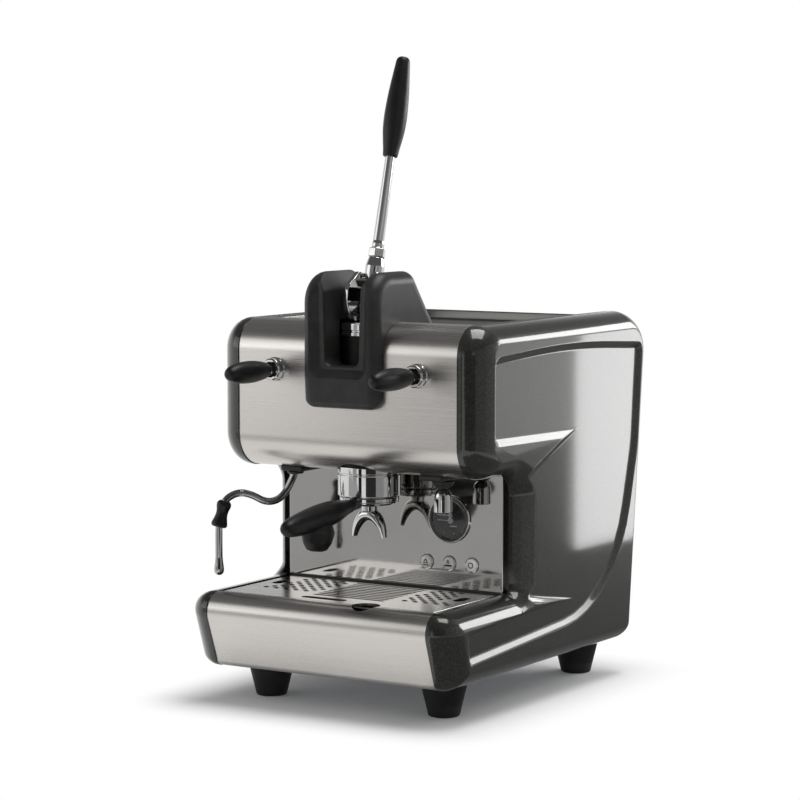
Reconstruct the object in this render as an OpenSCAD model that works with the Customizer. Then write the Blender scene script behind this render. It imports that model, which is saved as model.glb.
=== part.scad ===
// Lever espresso machine with one spring-lever group, a steam wand and a hot water outlet.
// Millimetres. +Z is up, -Y is the front, and X = 0 is the plane of symmetry.

/* [Body] */
// Overall width across the side panels
body_w = 336; // [330:1:350]
// Thickness of each side panel
side_w = 30.5; // [27:0.5:34]
// Height of the body's top edge
body_h = 412; // [408:1:425]
// Height of the base's underside above the worktop
floor_gap = 38; // [34:1:44]
// Height of the drip grid's top face
tray_h = 120; // [116:1:126]
// Height of the head's underside
head_h = 250; // [246:1:256]
// Y of the backsplash's polished face
splash_y = -37; // [-40:1:-34]
// How far the head's steel front stands before the backsplash
head_reach = 95; // [92:1:100]
// How far the base's bottom edge stands before the backsplash
base_reach = 137; // [132:1:142]
// How far the base's front leans out from bottom to top
base_lean = 28.6; // [24:0.2:32]
// Depth from the backsplash to the top of the back
back_reach = 289; // [280:1:300]
// How far the back leans in from top to bottom
back_lean = 38; // [30:1:44]
// Thickness of the formed steel sheet
sheet_t = 1.2; // [1:0.1:1.6]
// Thickness of the inner side frames
frame_t = 3; // [2:0.5:4]
// Set-back of the inner frames from the side panels' outline
frame_inset = 9; // [8:0.5:12]

/* [Side panels] */
// Radius of the side panels' outer edges
side_round = 22; // [18:1:26]
// How far the side panels stand proud of the steel fronts
side_proud = 2.5; // [1:0.5:4]
// Depth of the sculpted recess
recess_d = 5; // [3:0.5:7]
// Wall of a side panel behind its recess
side_wall = 4; // [3:0.5:6]
// Width of the raised border along the top
rim_top = 28; // [26:1:34]
// Width of the raised border at the back
rim_back = 22; // [20:1:28]
// Width of the raised border at the bottom
rim_low = 23; // [20:1:28]
// Height of the ridge along the head's lower edge
rim_head = 40; // [36:1:46]

/* [Feet] */
// Distance of each foot's middle from the side panel's inner face
foot_inset = 27.5; // [25:0.5:40]
// Half the distance between the feet front to back
foot_y = 146; // [135:1:150]
// Y of the middle of the four feet
foot_mid_y = 33; // [28:1:38]
// Diameter of a foot at the top
foot_top_d = 49; // [40:1:54]
// Diameter of a foot on the worktop
foot_low_d = 33; // [28:1:38]

/* [Drip tray] */
// Gap between the lift-off drip grid and each side panel
grid_gap = 5; // [4:0.5:10]
// Thickness of the drip grid
grid_t = 3; // [2:0.5:4]
// Depth of the drip basin below the grid
basin_d = 28; // [22:1:34]
// Length of an oblong drain slot
slot_l = 15; // [12:1:17]
// Width of an oblong drain slot
slot_w = 5.5; // [4:0.5:6]
// X of the finger notch in the grid's front edge
notch_x = 50; // [30:1:60]
// Radius of the finger notch
notch_r = 15; // [10:1:18]

/* [Lever cover] */
// Half width of the lever cover
cover_half = 46; // [44:1:50]
// How far the cover's two lobes rise above the body
cover_rise = 52; // [46:1:60]
// How far the cover's lower edge lies below the body's top
cover_drop = 91; // [82:1:97]
// How far the cover stands before the steel head
cover_proud = 11; // [8:1:14]
// Wall of the cover
cover_t = 3; // [2.5:0.5:4]
// Half width of the lever slot
slot_half = 17; // [16.5:0.5:20]
// Half width of the stepped recess round the slot
step_half = 27; // [24:1:30]
// How far the slot's lower end lies below the body's top
slot_drop = 48; // [42:1:52]
// Depth of the stepped recess round the slot
step_d = 21.5; // [6:0.5:21.5]

/* [Group and lever] */
// Distance from the backsplash forward to the group's axis
group_reach = 49; // [46:1:52]
// Outer radius of the group's bayonet skirt
skirt_r = 34; // [33:0.5:36]
// Length of the bayonet skirt below the head
skirt_l = 26; // [24:1:28]
// Bore radius of the cylinder
bore_r = 26; // [24:0.5:27]
// Outer radius of the cylinder
cylinder_r = 32; // [31:0.5:33]
// Height of the lever's pivot pin above the body's top
pivot_rise = 12; // [8:1:18]
// Radius of the piston rod
rod_r = 7; // [6:0.5:8]
// Radius of the lever's pivot pin
pin_r = 4; // [3:0.5:5]
// Distance from the pivot pin to the cam's low side
cam_low = 13; // [12:0.5:15]
// Piston stroke of a full pull
stroke = 24; // [18:1:28]
// Angle of a full pull
pull_angle = 125; // [110:1:130]
// Angle by which the resting lever leans back
lever_lean = 14.5; // [10:0.5:18]
// Length of the lever from its pivot to its tip
lever_l = 278; // [260:1:300]
// Length of the lever's grip
grip_l = 111; // [95:1:120]
// Largest radius of the lever's grip
grip_r = 12.5; // [10:0.5:14]

/* [Portafilter] */
// Outer radius of the filter holder where it hangs below the skirt
holder_r = 32; // [30.5:0.5:33.5]
// Reach of the handle's tip from the group's axis
handle_reach = 165; // [150:1:175]
// Angle by which the handle droops
handle_droop = 5.5; // [3:0.5:10]
// Largest radius of the handle
handle_r = 14.5; // [12:0.5:16]
// Half the distance between the two spout outlets
spout_half = 21; // [18:1:24]

/* [Taps and outlets] */
// Distance of each tap from the middle
tap_x = 89.5; // [84:0.5:95]
// How far the taps lie below the body's top
tap_drop = 53; // [46:1:62]
// Reach of a tap handle before the steel head
tap_reach = 90; // [80:1:95]
// Largest radius of a tap handle
tap_r = 11.7; // [10:0.1:13]
// Radius of a tap's chrome collar
collar_r = 12; // [11:0.5:13.5]
// Distance from the backsplash forward to the wand's swivel
wand_reach = 58; // [54:1:62]
// Radius of the wand's tube
wand_r = 4; // [3.5:0.1:4.5]
// Horizontal throw of the wand
wand_throw = 84; // [76:1:88]
// Height of the wand's tip
wand_low = 134; // [130:1:150]
// Direction of the wand, from straight ahead to the left
wand_angle = 45; // [35:1:50]
// Distance from the backsplash forward to the hot water spout
water_reach = 41; // [38:1:45]

/* [Backsplash fittings] */
// X of the indicator
dial_x = 71.5; // [66:0.5:78]
// Height of the indicator
dial_z = 197; // [190:1:202]
// Radius of the indicator's bezel
dial_r = 26; // [24:0.5:28]
// X of the middle button
button_x = 70.8; // [64:0.2:76]
// Distance between buttons
button_gap = 28.3; // [24:0.1:30]
// Height of the buttons
button_z = 149; // [145:1:155]
// Radius of a button
button_r = 7; // [6:0.5:8]
// Travel of a button
button_travel = 2; // [1.5:0.1:2.5]

/* [Boiler] */
// Outer radius of the boiler
boiler_r = 66; // [60:1:68]
// Length of the boiler's barrel
boiler_l = 190; // [170:1:200]
// Y of the boiler's axis
boiler_y = 96; // [90:1:104]
// How far the boiler's axis lies below the body's top
boiler_drop = 122; // [118:1:130]

/* [Hidden] */
$fn = 64;

// Clearance between pieces that move past each other
gap = 0.3;
// Radial clearance of a shaft that turns or slides in a bore
running = 0.06;
// Clearance of a fixed piece laid into a curved seat
seat = 0.2;
// Overlap of a cutting solid past the face it cuts
cut = 1;

side_half = body_w / 2;
bay_half = side_half - side_w;
bay_w = 2 * bay_half;
foot_x = bay_half - foot_inset;
grid_half = bay_half - grid_gap;
cover_h = body_h + cover_rise;
cover_low = body_h - cover_drop;
slot_low = body_h - slot_drop;
pivot_z = body_h + pivot_rise;
tap_z = body_h - tap_drop;
boiler_z = body_h - boiler_drop;
frame_in = bay_half - frame_t;
head_y = splash_y - head_reach;
base_y = splash_y - base_reach;
nose_y = base_y - base_lean;
back_y = splash_y + back_reach;
back_low_y = back_y - back_lean;
group_y = splash_y - group_reach;

// Heights of the steel panels, just inside the side panels' outline
steel_top = body_h - 1.5;
steel_tray = tray_h - 1;
steel_low = floor_gap + 2;
steel_head = head_h + 2;
frame_tray = tray_h + 1.5 - frame_inset;
frame_head = head_h + frame_inset - 1;
pan_z = steel_low + sheet_t;
pan_t = 2;
pan_top = pan_z + pan_t;
splash_back = splash_y + sheet_t;

// Unit vector of a 2-D or 3-D vector
function unit(v) = v / norm(v);
// Normal to the left of the way from a to b
function left_of(a, b) = let (u = unit(b - a)) [-u.y, u.x];
// Points of the arc that rounds the corner b between a and c
function arc(a, b, c, r, n = 6) = let (
    u = unit(a - b),
    v = unit(c - b),
    half = acos(u * v) / 2,
    o = b + unit(u + v) * r / sin(half),
    s = b + u * r / tan(half) - o,
    e = b + v * r / tan(half) - o,
    turn = sign(cross(s, e)) * (180 - 2 * half),
    from = atan2(s.y, s.x)
) [for (i = [0:n]) o + r * [cos(from + turn * i / n), sin(from + turn * i / n)]];
// Closed outline with rounded corners
function rounded(p, r) = let (n = len(p))
    [for (i = [0:n - 1]) each arc(p[(i + n - 1) % n], p[i], p[(i + 1) % n], r[i])];
// Open path with its inner corners rounded
function bent(p, r) = concat([p[0]],
    [for (i = [1:len(p) - 2]) each arc(p[i - 1], p[i], p[i + 1], r[i - 1])], [p[len(p) - 1]]);
// Closed outline moved inwards by t, for corners listed anticlockwise
function inset(p, t) = let (n = len(p)) [for (i = [0:n - 1]) let (
    a = left_of(p[(i + n - 1) % n], p[i]),
    b = left_of(p[i], p[(i + 1) % n])
) p[i] + t * (a + b) / (1 + a * b)];
// Open path moved to its left by t
function beside(p, t) = let (n = len(p)) [for (i = [0:n - 1]) let (
    a = left_of(p[max(i - 1, 0)], p[max(i, 1)]),
    b = left_of(p[min(i, n - 2)], p[min(i + 1, n - 1)])
) p[i] + t * (a + b) / (1 + a * b)];
// List in the opposite order
function back_to_front(p) = [for (i = [len(p) - 1:-1:0]) p[i]];
// Smooth path whose inner corners are replaced by curves that start d before each corner
function eased(p, d, n = 6) = concat([p[0]], [for (i = [1:len(p) - 2]) let (
    a = p[i] + unit(p[i - 1] - p[i]) * d[i - 1],
    c = p[i] + unit(p[i + 1] - p[i]) * d[i - 1]
) each [for (k = [0:n]) let (t = k / n) a * (1 - t) * (1 - t) + p[i] * 2 * t * (1 - t) + c * t * t]],
    [p[len(p) - 1]]);
// Cubic curve between a and d with the handles b and c
function curve(a, b, c, d, n = 8) = [for (k = [0:n]) let (t = k / n, s = 1 - t)
    a * s * s * s + b * 3 * s * s * t + c * 3 * s * t * t + d * t * t * t];

// Extrudes a (y, z) outline along X, centred
module along_x(w) rotate([90, 0, 90]) linear_extrude(w, center = true) children();
// Turns a shape that stands on +Z to point forward, along -Y
module forward() rotate([90, 0, 0]) children();
// Cylinder along Y from y0 back to y1
module bar_y(r, y0, y1) translate([0, y1, 0]) forward() cylinder(r = r, h = y1 - y0);
// Cylinder along X, centred
module bar_x(r, l) rotate([0, 90, 0]) cylinder(r = r, h = l, center = true);
// Upright tube or disc
module ring(r_out, r_in, z0, z1) translate([0, 0, z0]) difference() {
    cylinder(r = r_out, h = z1 - z0);
    translate([0, 0, -cut]) cylinder(r = r_in, h = z1 - z0 + 2 * cut);
}
// Box centred in X between two corners in Y and Z
module bay(half, y0, y1, z0, z1) translate([-half, y0, z0]) cube([2 * half, y1 - y0, z1 - z0]);
// Bent sheet whose outer face follows a (y, z) path, with its thickness to the left of the path
module bent_sheet(p, r, w) {
    q = beside(p, sheet_t);
    inner = [for (i = [1:len(p) - 2]) max(0.2, r[i - 1] - sheet_t)];
    along_x(w) polygon(concat(bent(p, r), back_to_front(bent(q, inner))));
}
// Tube swept along a path; side is a direction that no stretch of the path follows
module swept(path, r, side, sides = 8) {
    n = len(path);
    rings = [for (i = [0:n - 1]) let (
        t = unit(path[min(i + 1, n - 1)] - path[max(i - 1, 0)]),
        u = unit(cross(t, side)),
        v = cross(t, u)
    ) each [for (k = [0:sides - 1]) path[i] + r * (cos(360 * k / sides) * u + sin(360 * k / sides) * v)]];
    walls = [for (i = [0:n - 2], k = [0:sides - 1]) let (
        a = i * sides + k,
        b = i * sides + (k + 1) % sides
    ) each [[a, b, b + sides], [a, b + sides, a + sides]]];
    ends = [for (k = [1:sides - 2]) each [[0, k + 1, k],
        [(n - 1) * sides, (n - 1) * sides + k, (n - 1) * sides + k + 1]]];
    polyhedron(rings, [for (f = concat(walls, ends)) [f[0], f[2], f[1]]]);
}
// Solid of revolution about Z from (radius, height) points
module turned(p) rotate_extrude() polygon(p);

// Outline of a side panel: head arm, column and base arm, listed anticlockwise
side_corners = [[head_y - side_proud, head_h], [splash_y, head_h], [splash_y, tray_h + 0.5],
    [nose_y - side_proud, tray_h + 0.5], [base_y - side_proud, floor_gap], [back_low_y, floor_gap],
    [back_y, body_h], [head_y - side_proud, body_h]];
side_radii = [38, 25, 15, 21, 10, 20, 45, 34];

// Outline of the sculpted recess, open at the column's front edge, with two fingers between the ridges
recess_corners = [[head_y + 29, head_h + rim_head], [splash_y + 113, head_h + rim_head],
    [splash_y + 100, head_h + 14], [splash_y + 4, head_h - 4], [splash_y - 30, head_h - 4],
    [splash_y - 30, tray_h + 4], [splash_y + 70, tray_h + 4], [splash_y + 92, tray_h - 17],
    [base_y + 13, tray_h - 21], [base_y + 19, floor_gap + rim_low],
    [back_low_y - 47, floor_gap + rim_low + 17], [back_y - rim_back - 12, head_h + 12],
    [back_y - rim_back, body_h - rim_top - 8], [splash_y + 100, body_h - rim_top],
    [head_y + 29, body_h - rim_top - 13]];
recess_radii = [8, 8, 8, 4, 4, 4, 8, 4, 4, 6, 170, 150, 12, 300, 10];

// Face of the panel pressed out of the steel, with a rounded edge all round
module side_panel() difference() {
    intersection() {
        minkowski() {
            translate([bay_half - 6, 0, 0]) rotate([90, 0, 90])
                linear_extrude(side_half - side_round - bay_half + 6)
                    offset(delta = -side_round) polygon(rounded(side_corners, side_radii));
            sphere(side_round, $fn = 24);
        }
        translate([bay_half, 2 * base_y, 0]) cube([body_w, 4 * back_y, 2 * body_h]);
    }
    translate([side_half - recess_d, 0, 0]) rotate([90, 0, 90]) linear_extrude(recess_d + cut)
        polygon(rounded(recess_corners, recess_radii));
    // hollow behind the face, which the inner frame closes
    translate([bay_half - cut, 0, 0]) rotate([90, 0, 90]) linear_extrude(side_w - recess_d - side_wall + cut)
        polygon(rounded(inset(side_corners, frame_inset + 6), [22, 30, 20, 8, 4, 8, 30, 20]));
}
module side_panel_right() color("#474946") side_panel();
module side_panel_left() color("#474946") mirror([1, 0, 0]) side_panel();

// Sheet steel plate behind each side panel, which carries everything between the two
module side_frame() translate([frame_in, 0, 0]) rotate([90, 0, 90]) linear_extrude(frame_t)
    polygon(rounded(inset(side_corners, frame_inset), [30, 1, 1, 12, 6, 12, 36, 25]));
module frame_right() color("silver") side_frame();
module frame_left() color("silver") mirror([1, 0, 0]) side_frame();

// Rear panel's outer face at a height
rear_set = 13;
function rear_y(z) = back_low_y - rear_set + back_lean * (z - floor_gap) / (body_h - floor_gap);

stand_x = 62;
stand_t = 4;
// Floor tray of the machine, with the two welded stands that carry the boiler
module base_pan() color("gray") {
    pan_front = base_y + 6;
    pan_back = rear_y(pan_z) - 3;
    bay(bay_half, pan_front, pan_back, pan_z, pan_top);
    for (y = [pan_front, pan_back - pan_t]) bay(frame_in - 2, y, y + pan_t, pan_top, pan_top + 12);
    for (s = [-1, 1]) difference() {
        translate([s * stand_x - stand_t / 2, boiler_y - 45, pan_top])
            cube([stand_t, 90, boiler_z - pan_top - boiler_r / 2]);
        translate([s * stand_x, boiler_y, boiler_z]) bar_x(boiler_r + seat, 2 * stand_t);
    }
}

// Four tapered rubber feet under the floor tray
module feet() color("#1c1c1c") for (x = [-foot_x, foot_x], y = [-foot_y, foot_y])
    translate([x, foot_mid_y + y, 0]) turned([[0, 0], [foot_low_d / 2 - 3, 0], [foot_low_d / 2, 3],
        [foot_top_d / 2, floor_gap - 4], [foot_top_d / 2, pan_z], [0, pan_z]]);

base_round = 20;
// Steel front of the base, bent over the nose and down behind the drip grid's front edge
nose_back = nose_y + 31;
module base_front_panel() color("#b9b4ae") difference() {
    bent_sheet([[nose_back, frame_tray], [nose_back, steel_tray], [nose_y, steel_tray],
        [base_y, steel_low], [base_y + 14, steel_low]], [1.5, base_round, 8], bay_w);
    translate([notch_x, nose_back, tray_h - 8]) cylinder(r = notch_r, h = 16);
}

head_tail = head_y + 38;
head_top_y = head_y + 40;
group_hole_r = skirt_r + 1;
window_half = cover_half - 6;
window_low = cover_low + 14;
tap_hole_r = 9.5;
head_path = [[head_top_y, steel_top], [head_y, steel_top], [head_y, steel_head], [head_tail, steel_head]];
head_radii = [32, 36];
// Steel front of the head, with the window that the lever cover closes and the two tap holes
module head_front_panel() color("#b9b4ae") difference() {
    bent_sheet(head_path, head_radii, bay_w);
    bay(window_half, head_y - cut, head_top_y + cut, window_low, body_h + cut);
    for (s = [-1, 1]) translate([s * tap_x, 0, tap_z]) bar_y(tap_hole_r, head_y - 5, head_y + 5);
    translate([0, group_y, steel_head - 5]) cylinder(r = group_hole_r, h = 30);
    translate([wand_x, wand_y, steel_head - 5]) cylinder(r = wand_stem_r + 2, h = 10);
}

wand_x = -tap_x;
wand_y = splash_y - wand_reach;
water_x = tap_x - 2;
water_y = splash_y - water_reach;
pad_low = steel_head - 5;
pad_half = 13.5;
// Black moulding under the head, with a pad round each outlet and a hole for the group
module head_underside() color("#222222") difference() {
    union() {
        bay(bay_half, head_tail, splash_y, steel_head, steel_head + 2);
        for (x = [wand_x, water_x]) translate([x - pad_half, head_tail, pad_low])
            cube([2 * pad_half, splash_y - head_tail, steel_head - pad_low]);
    }
    translate([0, group_y, steel_head - 5]) cylinder(r = group_hole_r, h = 30);
    translate([wand_x, wand_y, pad_low - cut]) cylinder(r = wand_stem_r + 2, h = 20);
    translate([water_x, water_y, pad_low - cut]) cylinder(r = spout_neck_r + seat, h = 20);
}

dial_hole_r = dial_r - 3;
button_hole_r = button_r + gap;
buttons = [for (i = [-1:1]) button_x + i * button_gap];
// Polished sheet behind the cup space, with folded side edges
module backsplash() color("#c8c6c2") difference() {
    union() {
        bay(bay_half, splash_y, splash_back, frame_tray, frame_head);
        bay(frame_in - seat, splash_y, splash_back, tray_h - 18, steel_head + 10);
        for (s = [-1, 1]) translate([s * (bay_half - 1) - 1, splash_back, frame_tray])
            cube([2, 6, frame_head - frame_tray]);
    }
    translate([dial_x, 0, dial_z]) bar_y(dial_hole_r, splash_y - cut, splash_back + cut);
    for (x = buttons) translate([x, 0, button_z]) bar_y(button_hole_r, splash_y - cut, splash_back + cut);
}

tray_floor = body_h - 19;
tray_back = rear_y(tray_floor) - 8;
cover_back = splash_y + 14;
// Sunken cup tray on top, with a rim level with the steel head and a window for the group
module cup_tray() color("#8f9090") difference() {
    union() {
        difference() {
            bay(frame_in - 1, head_top_y, tray_back, tray_floor, steel_top);
            bay(frame_in - 1 - sheet_t, head_top_y + sheet_t, tray_back - sheet_t,
                tray_floor + sheet_t, body_h);
        }
        difference() {
            bay(bay_half, head_top_y, tray_back + 4, steel_top - sheet_t, steel_top);
            bay(frame_in - 3, head_top_y + sheet_t, tray_back - 2, body_h - 10, body_h);
        }
    }
    bay(window_half, head_top_y - cut, cover_back - 6, tray_floor - cut, body_h + cut);
}

// Painted rear panel, parallel to the leaning back, with rows of cooling slots
module rear_panel() color("#3a3b39") difference() {
    low = pan_top;
    high = body_h - 6;
    along_x(2 * frame_in) polygon([[rear_y(low) - sheet_t, low], [rear_y(low), low],
        [rear_y(high), high], [rear_y(high) - sheet_t, high]]);
    for (row = [0:5], s = [-1, 1]) let (z = boiler_z - 20 + 14 * row)
        translate([s * 60 - 40, rear_y(z) - 10, z]) cube([80, 20, 5]);
    for (x = inlets) translate([x, rear_y(inlet_z), inlet_z]) bar_y(inlet_r, -20, 20);
}

rim_z = tray_h - grid_t - gap;
basin_front = nose_back;
// Fixed basin that catches the drips, hung by its rim, with its drain stub
module drip_basin() color("#9a9a98") difference() {
    union() {
        bay(bay_half, basin_front, splash_y, rim_z - sheet_t, rim_z);
        bay(grid_half - 3, basin_front + 4, splash_y - 3, rim_z - basin_d, rim_z);
        translate([0, splash_y - 30, rim_z - basin_d - 14]) cylinder(r = 9, h = 16);
    }
    bay(grid_half - 3 - sheet_t, basin_front + 4 + sheet_t, splash_y - 3 - sheet_t,
        rim_z - basin_d + sheet_t, tray_h);
    translate([0, splash_y - 30, rim_z - basin_d - 15]) cylinder(r = 7, h = 30);
}

grid_front = nose_back + gap;
grid_back = splash_y - gap;
rib_pitch = 7;
// Oblong hole with round ends, turned about Z
module oblong(l, w, turn) rotate(turn) {
    translate([-(l - w) / 2, -w / 2, 0]) cube([l - w, w, 4 * grid_t]);
    for (s = [-1, 1]) translate([s * (l - w) / 2, 0, 0]) cylinder(d = w, h = 4 * grid_t, $fn = 24);
}
// Lift-off grid: slanting rows of oblong slots at each side and fine ribs under the group
module drip_grid() color("#b0aeaa") difference() {
    bay(grid_half, grid_front, grid_back, tray_h - grid_t, tray_h);
    translate([notch_x, grid_front, tray_h - 2 * grid_t]) cylinder(r = notch_r, h = 3 * grid_t);
    for (s = [-1, 1], i = [0:3], j = [0:4])
        translate([s * (grid_half - 68 + 15 * i), grid_back - 16 - 18 * j - 3 * i, tray_h - 2 * grid_t])
            oblong(slot_l, slot_w, 65);
    for (s = [-1, 1]) translate([s * (grid_half - 11), (grid_front + grid_back) / 2 + 22, tray_h - 2 * grid_t])
        oblong(26, 8, 90);
    for (y = [group_y - 44:rib_pitch:group_y + 34])
        bay(grid_half / 2 - 14, y, y + rib_pitch / 2, tray_h - 2 * grid_t, tray_h + grid_t);
}

// Side view of the cover's outer shape, listed anticlockwise
cover_round = 10;
cover_front = head_y - cover_proud;
cover_side = [[cover_front, cover_low], [head_y + 10, cover_low], [cover_back, tray_floor],
    [cover_back, tray_floor + 14], [group_y + 10, cover_h], [cover_front + 18, cover_h],
    [cover_front + 3, cover_h - 22], [cover_front - 2, cover_low + 36]];
cover_radii = [8, 4, 1, 8, 16, 14, 14, 60];
cover_plan = [[-cover_half, cover_back + cut], [-cover_half, cover_front - 2],
    [cover_half, cover_front - 2], [cover_half, cover_back + cut]];
cover_view = [[-cover_half, cover_low], [cover_half, cover_low], [cover_half, cover_h],
    [-cover_half, cover_h]];
// Shape of the cover moved inwards by t, rounded in its side, plan and front views
module cover_shape(t) {
    r = cover_round - t;
    intersection() {
        along_x(2 * body_w)
            polygon(rounded(inset(cover_side, t), [for (c = cover_radii) max(0.5, c - t)]));
        linear_extrude(2 * body_h) polygon(rounded(inset(cover_plan, t), [0.5, r, r, 0.5]));
        translate([0, body_w, 0]) forward() linear_extrude(2 * body_w)
            polygon(rounded(inset(cover_view, t), [r, r, r + 4, r + 4]));
    }
}
step_y = cover_front + step_d;
step_low = slot_low - 8;
step_top = 2 * cover_h;
// Room of the stepped recess, grown by t
module step_room(t) bay(step_half + t, cover_front - 9, step_y + t, step_low - t, step_top);
// Moulded cover over the lever's mechanism, open at the front and top where the lever swings
module lever_cover() color("#2d2d2d") difference() {
    union() {
        difference() {
            cover_shape(0);
            cover_shape(cover_t);
        }
        // walls of the stepped recess, which reach back through the head's window
        intersection() {
            cover_shape(0);
            step_room(cover_t);
        }
    }
    // the steel head round its window, and the cup tray that the cover sits on
    difference() {
        along_x(2 * body_w) polygon(concat(bent(beside(head_path, -seat), [for (r = head_radii) r + seat]),
            [[head_top_y, steel_head]]));
        step_room(cover_t);
    }
    bay(body_w, head_top_y - cut, head_top_y + sheet_t + seat, 0, steel_top + seat);
    bay(body_w, head_top_y, back_y, 0, tray_floor + sheet_t);
    // the stepped recess and the slot
    step_room(0);
    bay(slot_half, cover_front - 9, group_y + 28, slot_low, step_top);
}

bracket_y = group_y + 36;
bracket_t = 6;
feed_z = boiler_z + 35;
pipe_hole_r = 9;
// Cross plate between the side frames that the group is bolted to
module group_bracket() color("gray") difference() {
    bay(frame_in, bracket_y, bracket_y + bracket_t, head_h + 30, tray_floor - 3);
    translate([0, 0, feed_z]) bar_y(pipe_hole_r, bracket_y - cut, bracket_y + bracket_t + cut);
    for (s = [-1, 1]) translate([s * tap_x, 0, tap_z])
        bar_y(pipe_hole_r, bracket_y - cut, bracket_y + bracket_t + cut);
}

skirt_low = head_h - skirt_l;
skirt_in = skirt_r - 3;
ledge_t = 5;
seal_top = skirt_low + 22;
chamber_low = seal_top + 10;
cap_low = pivot_z - cam_low - gap - 14;
cap_top = pivot_z - cam_low - gap;
holder_in_skirt = skirt_in - 2.5;
lug_angle = 36;
// Wedge about the group's axis that spans an angle on each side of two opposite directions
module two_wedges(angle, turn, r, z0, z1) for (s = [0, 180]) rotate(turn + s - angle / 2)
    translate([0, 0, z0]) rotate_extrude(angle = angle) square([r, z1 - z0]);
// Chromed brass cylinder with the bayonet skirt that takes the filter holder
module group_body() color("#d5d5d5") translate([0, group_y, 0]) difference() {
    union() {
        ring(skirt_r, skirt_in, skirt_low, seal_top);
        ring(cylinder_r, bore_r, seal_top, cap_low);
        ring(skirt_r, 8, seal_top, chamber_low);
        // ledges that the filter holder's lugs turn onto, broken by the two entry gaps
        difference() {
            ring(skirt_in + 1, holder_in_skirt + 0.5, skirt_low, skirt_low + ledge_t);
            two_wedges(lug_angle + 14, -45, skirt_in - 0.02, skirt_low - cut, skirt_low + ledge_t + cut);
        }
        // flange at the back against the cross plate
        difference() {
            translate([-26, 0, feed_z - 38]) cube([52, bracket_y - group_y, 70]);
            translate([0, 0, feed_z - 50]) cylinder(r = bore_r + 1, h = 100);
        }
    }
    translate([0, 0, feed_z]) bar_y(5, bore_r - 4, bracket_y - group_y + cut);
}

// Cover of the cylinder, whose flat top the lever's cams roll on
module group_cap() color("#d5d5d5") translate([0, group_y, 0])
    ring(cylinder_r, rod_r + running, cap_low, cap_top);

gasket_low = skirt_low + 14.3;
gasket_in = bore_r - 2;
// Rubber seal between the group and the filter basket
module group_gasket() color("#202020") translate([0, group_y, 0])
    ring(skirt_in - 0.1, gasket_in, gasket_low, seal_top);

// Perforated disc that spreads the water over the coffee
module shower_screen() color("#b8b8b8") translate([0, group_y, 0]) difference() {
    translate([0, 0, seal_top - 3]) cylinder(r = gasket_in - 0.2, h = 3);
    for (i = [0:11], r = [8, 16]) rotate(30 * i) translate([r, 0, seal_top - 4])
        cylinder(d = 2.5, h = 5, $fn = 16);
}

piston_low = chamber_low + gap;
piston_h = 20;
groove_r = bore_r - 4;
// Brass piston with two grooves for its seals
module piston() color("#c8a04a") translate([0, group_y, piston_low]) turned([[0, 0], [bore_r - 0.6, 0],
    [bore_r - 0.6, 3], [groove_r, 3], [groove_r, 7], [bore_r - 0.6, 7], [bore_r - 0.6, 13],
    [groove_r, 13], [groove_r, 17], [bore_r - 0.6, 17], [bore_r - 0.6, piston_h], [0, piston_h]]);
// Two lip seals in the piston's grooves
module piston_seals() color("#202020") translate([0, group_y, piston_low])
    for (z = [3, 13]) ring(bore_r - running, groove_r, z, z + 4);
eye_half = 7.5;
eye_r = 10;
// Rod that lifts the piston, with the eye for the lever's pin
module piston_rod() color("#cccccc") translate([0, group_y, 0]) difference() {
    union() {
        translate([0, 0, piston_low + piston_h])
            cylinder(r = rod_r, h = pivot_z - eye_r + 2 - piston_low - piston_h);
        intersection() {
            translate([0, 0, pivot_z]) bar_x(eye_r, 2 * eye_half);
            translate([-rod_r, -eye_r, pivot_z - eye_r]) cube([2 * rod_r, 2 * eye_r, 2 * eye_r]);
        }
    }
    translate([0, 0, pivot_z]) bar_x(pin_r + running, 4 * eye_half);
}

wire_r = 2.4;
coil_r = bore_r - wire_r - 2;
coil_turns = 8;
coil_low = piston_low + piston_h + wire_r + gap;
coil_high = cap_low - wire_r - gap;
coil_rings = 8 * coil_turns;
coil_path = [for (i = [0:coil_rings]) let (a = 360 * coil_turns * i / coil_rings)
    [coil_r * cos(a), coil_r * sin(a), coil_low + (coil_high - coil_low) * i / coil_rings]];
// Least gap between neighbouring turns, measured on the wire's own points
coil_gap = min([for (i = [0:coil_rings - 8]) norm(coil_path[i + 8] - coil_path[i])]) - 2 * wire_r;
// Spring that drives the piston down
module main_spring() color("#8a8a8a") {
    echo(main_spring_least_gap = coil_gap);
    translate([0, group_y, 0]) swept(coil_path, wire_r, [0, 0, 1], 6);
}

// Cam of the lever's fork: each point is the contact when the lever is pulled by an angle
cam_rate = stroke / pull_angle;
function cam_point(a) = (cam_low + cam_rate * a) * [-sin(a), -cos(a)]
    + cam_rate * 180 / PI * [-cos(a), sin(a)];
cheek_in = eye_half + 0.5;
cheek_t = 6;
socket_r = 10;
socket_top = 56;
collar_top = 66;
shank_r = 6;
rod_top_r = 5;
grip_low = lever_l - grip_l;
shank_in = 16;
// Places a piece that stands along the lever, from its pivot pin up
module on_lever() translate([0, group_y, pivot_z]) rotate([-lever_lean, 0, 0]) children();
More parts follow.
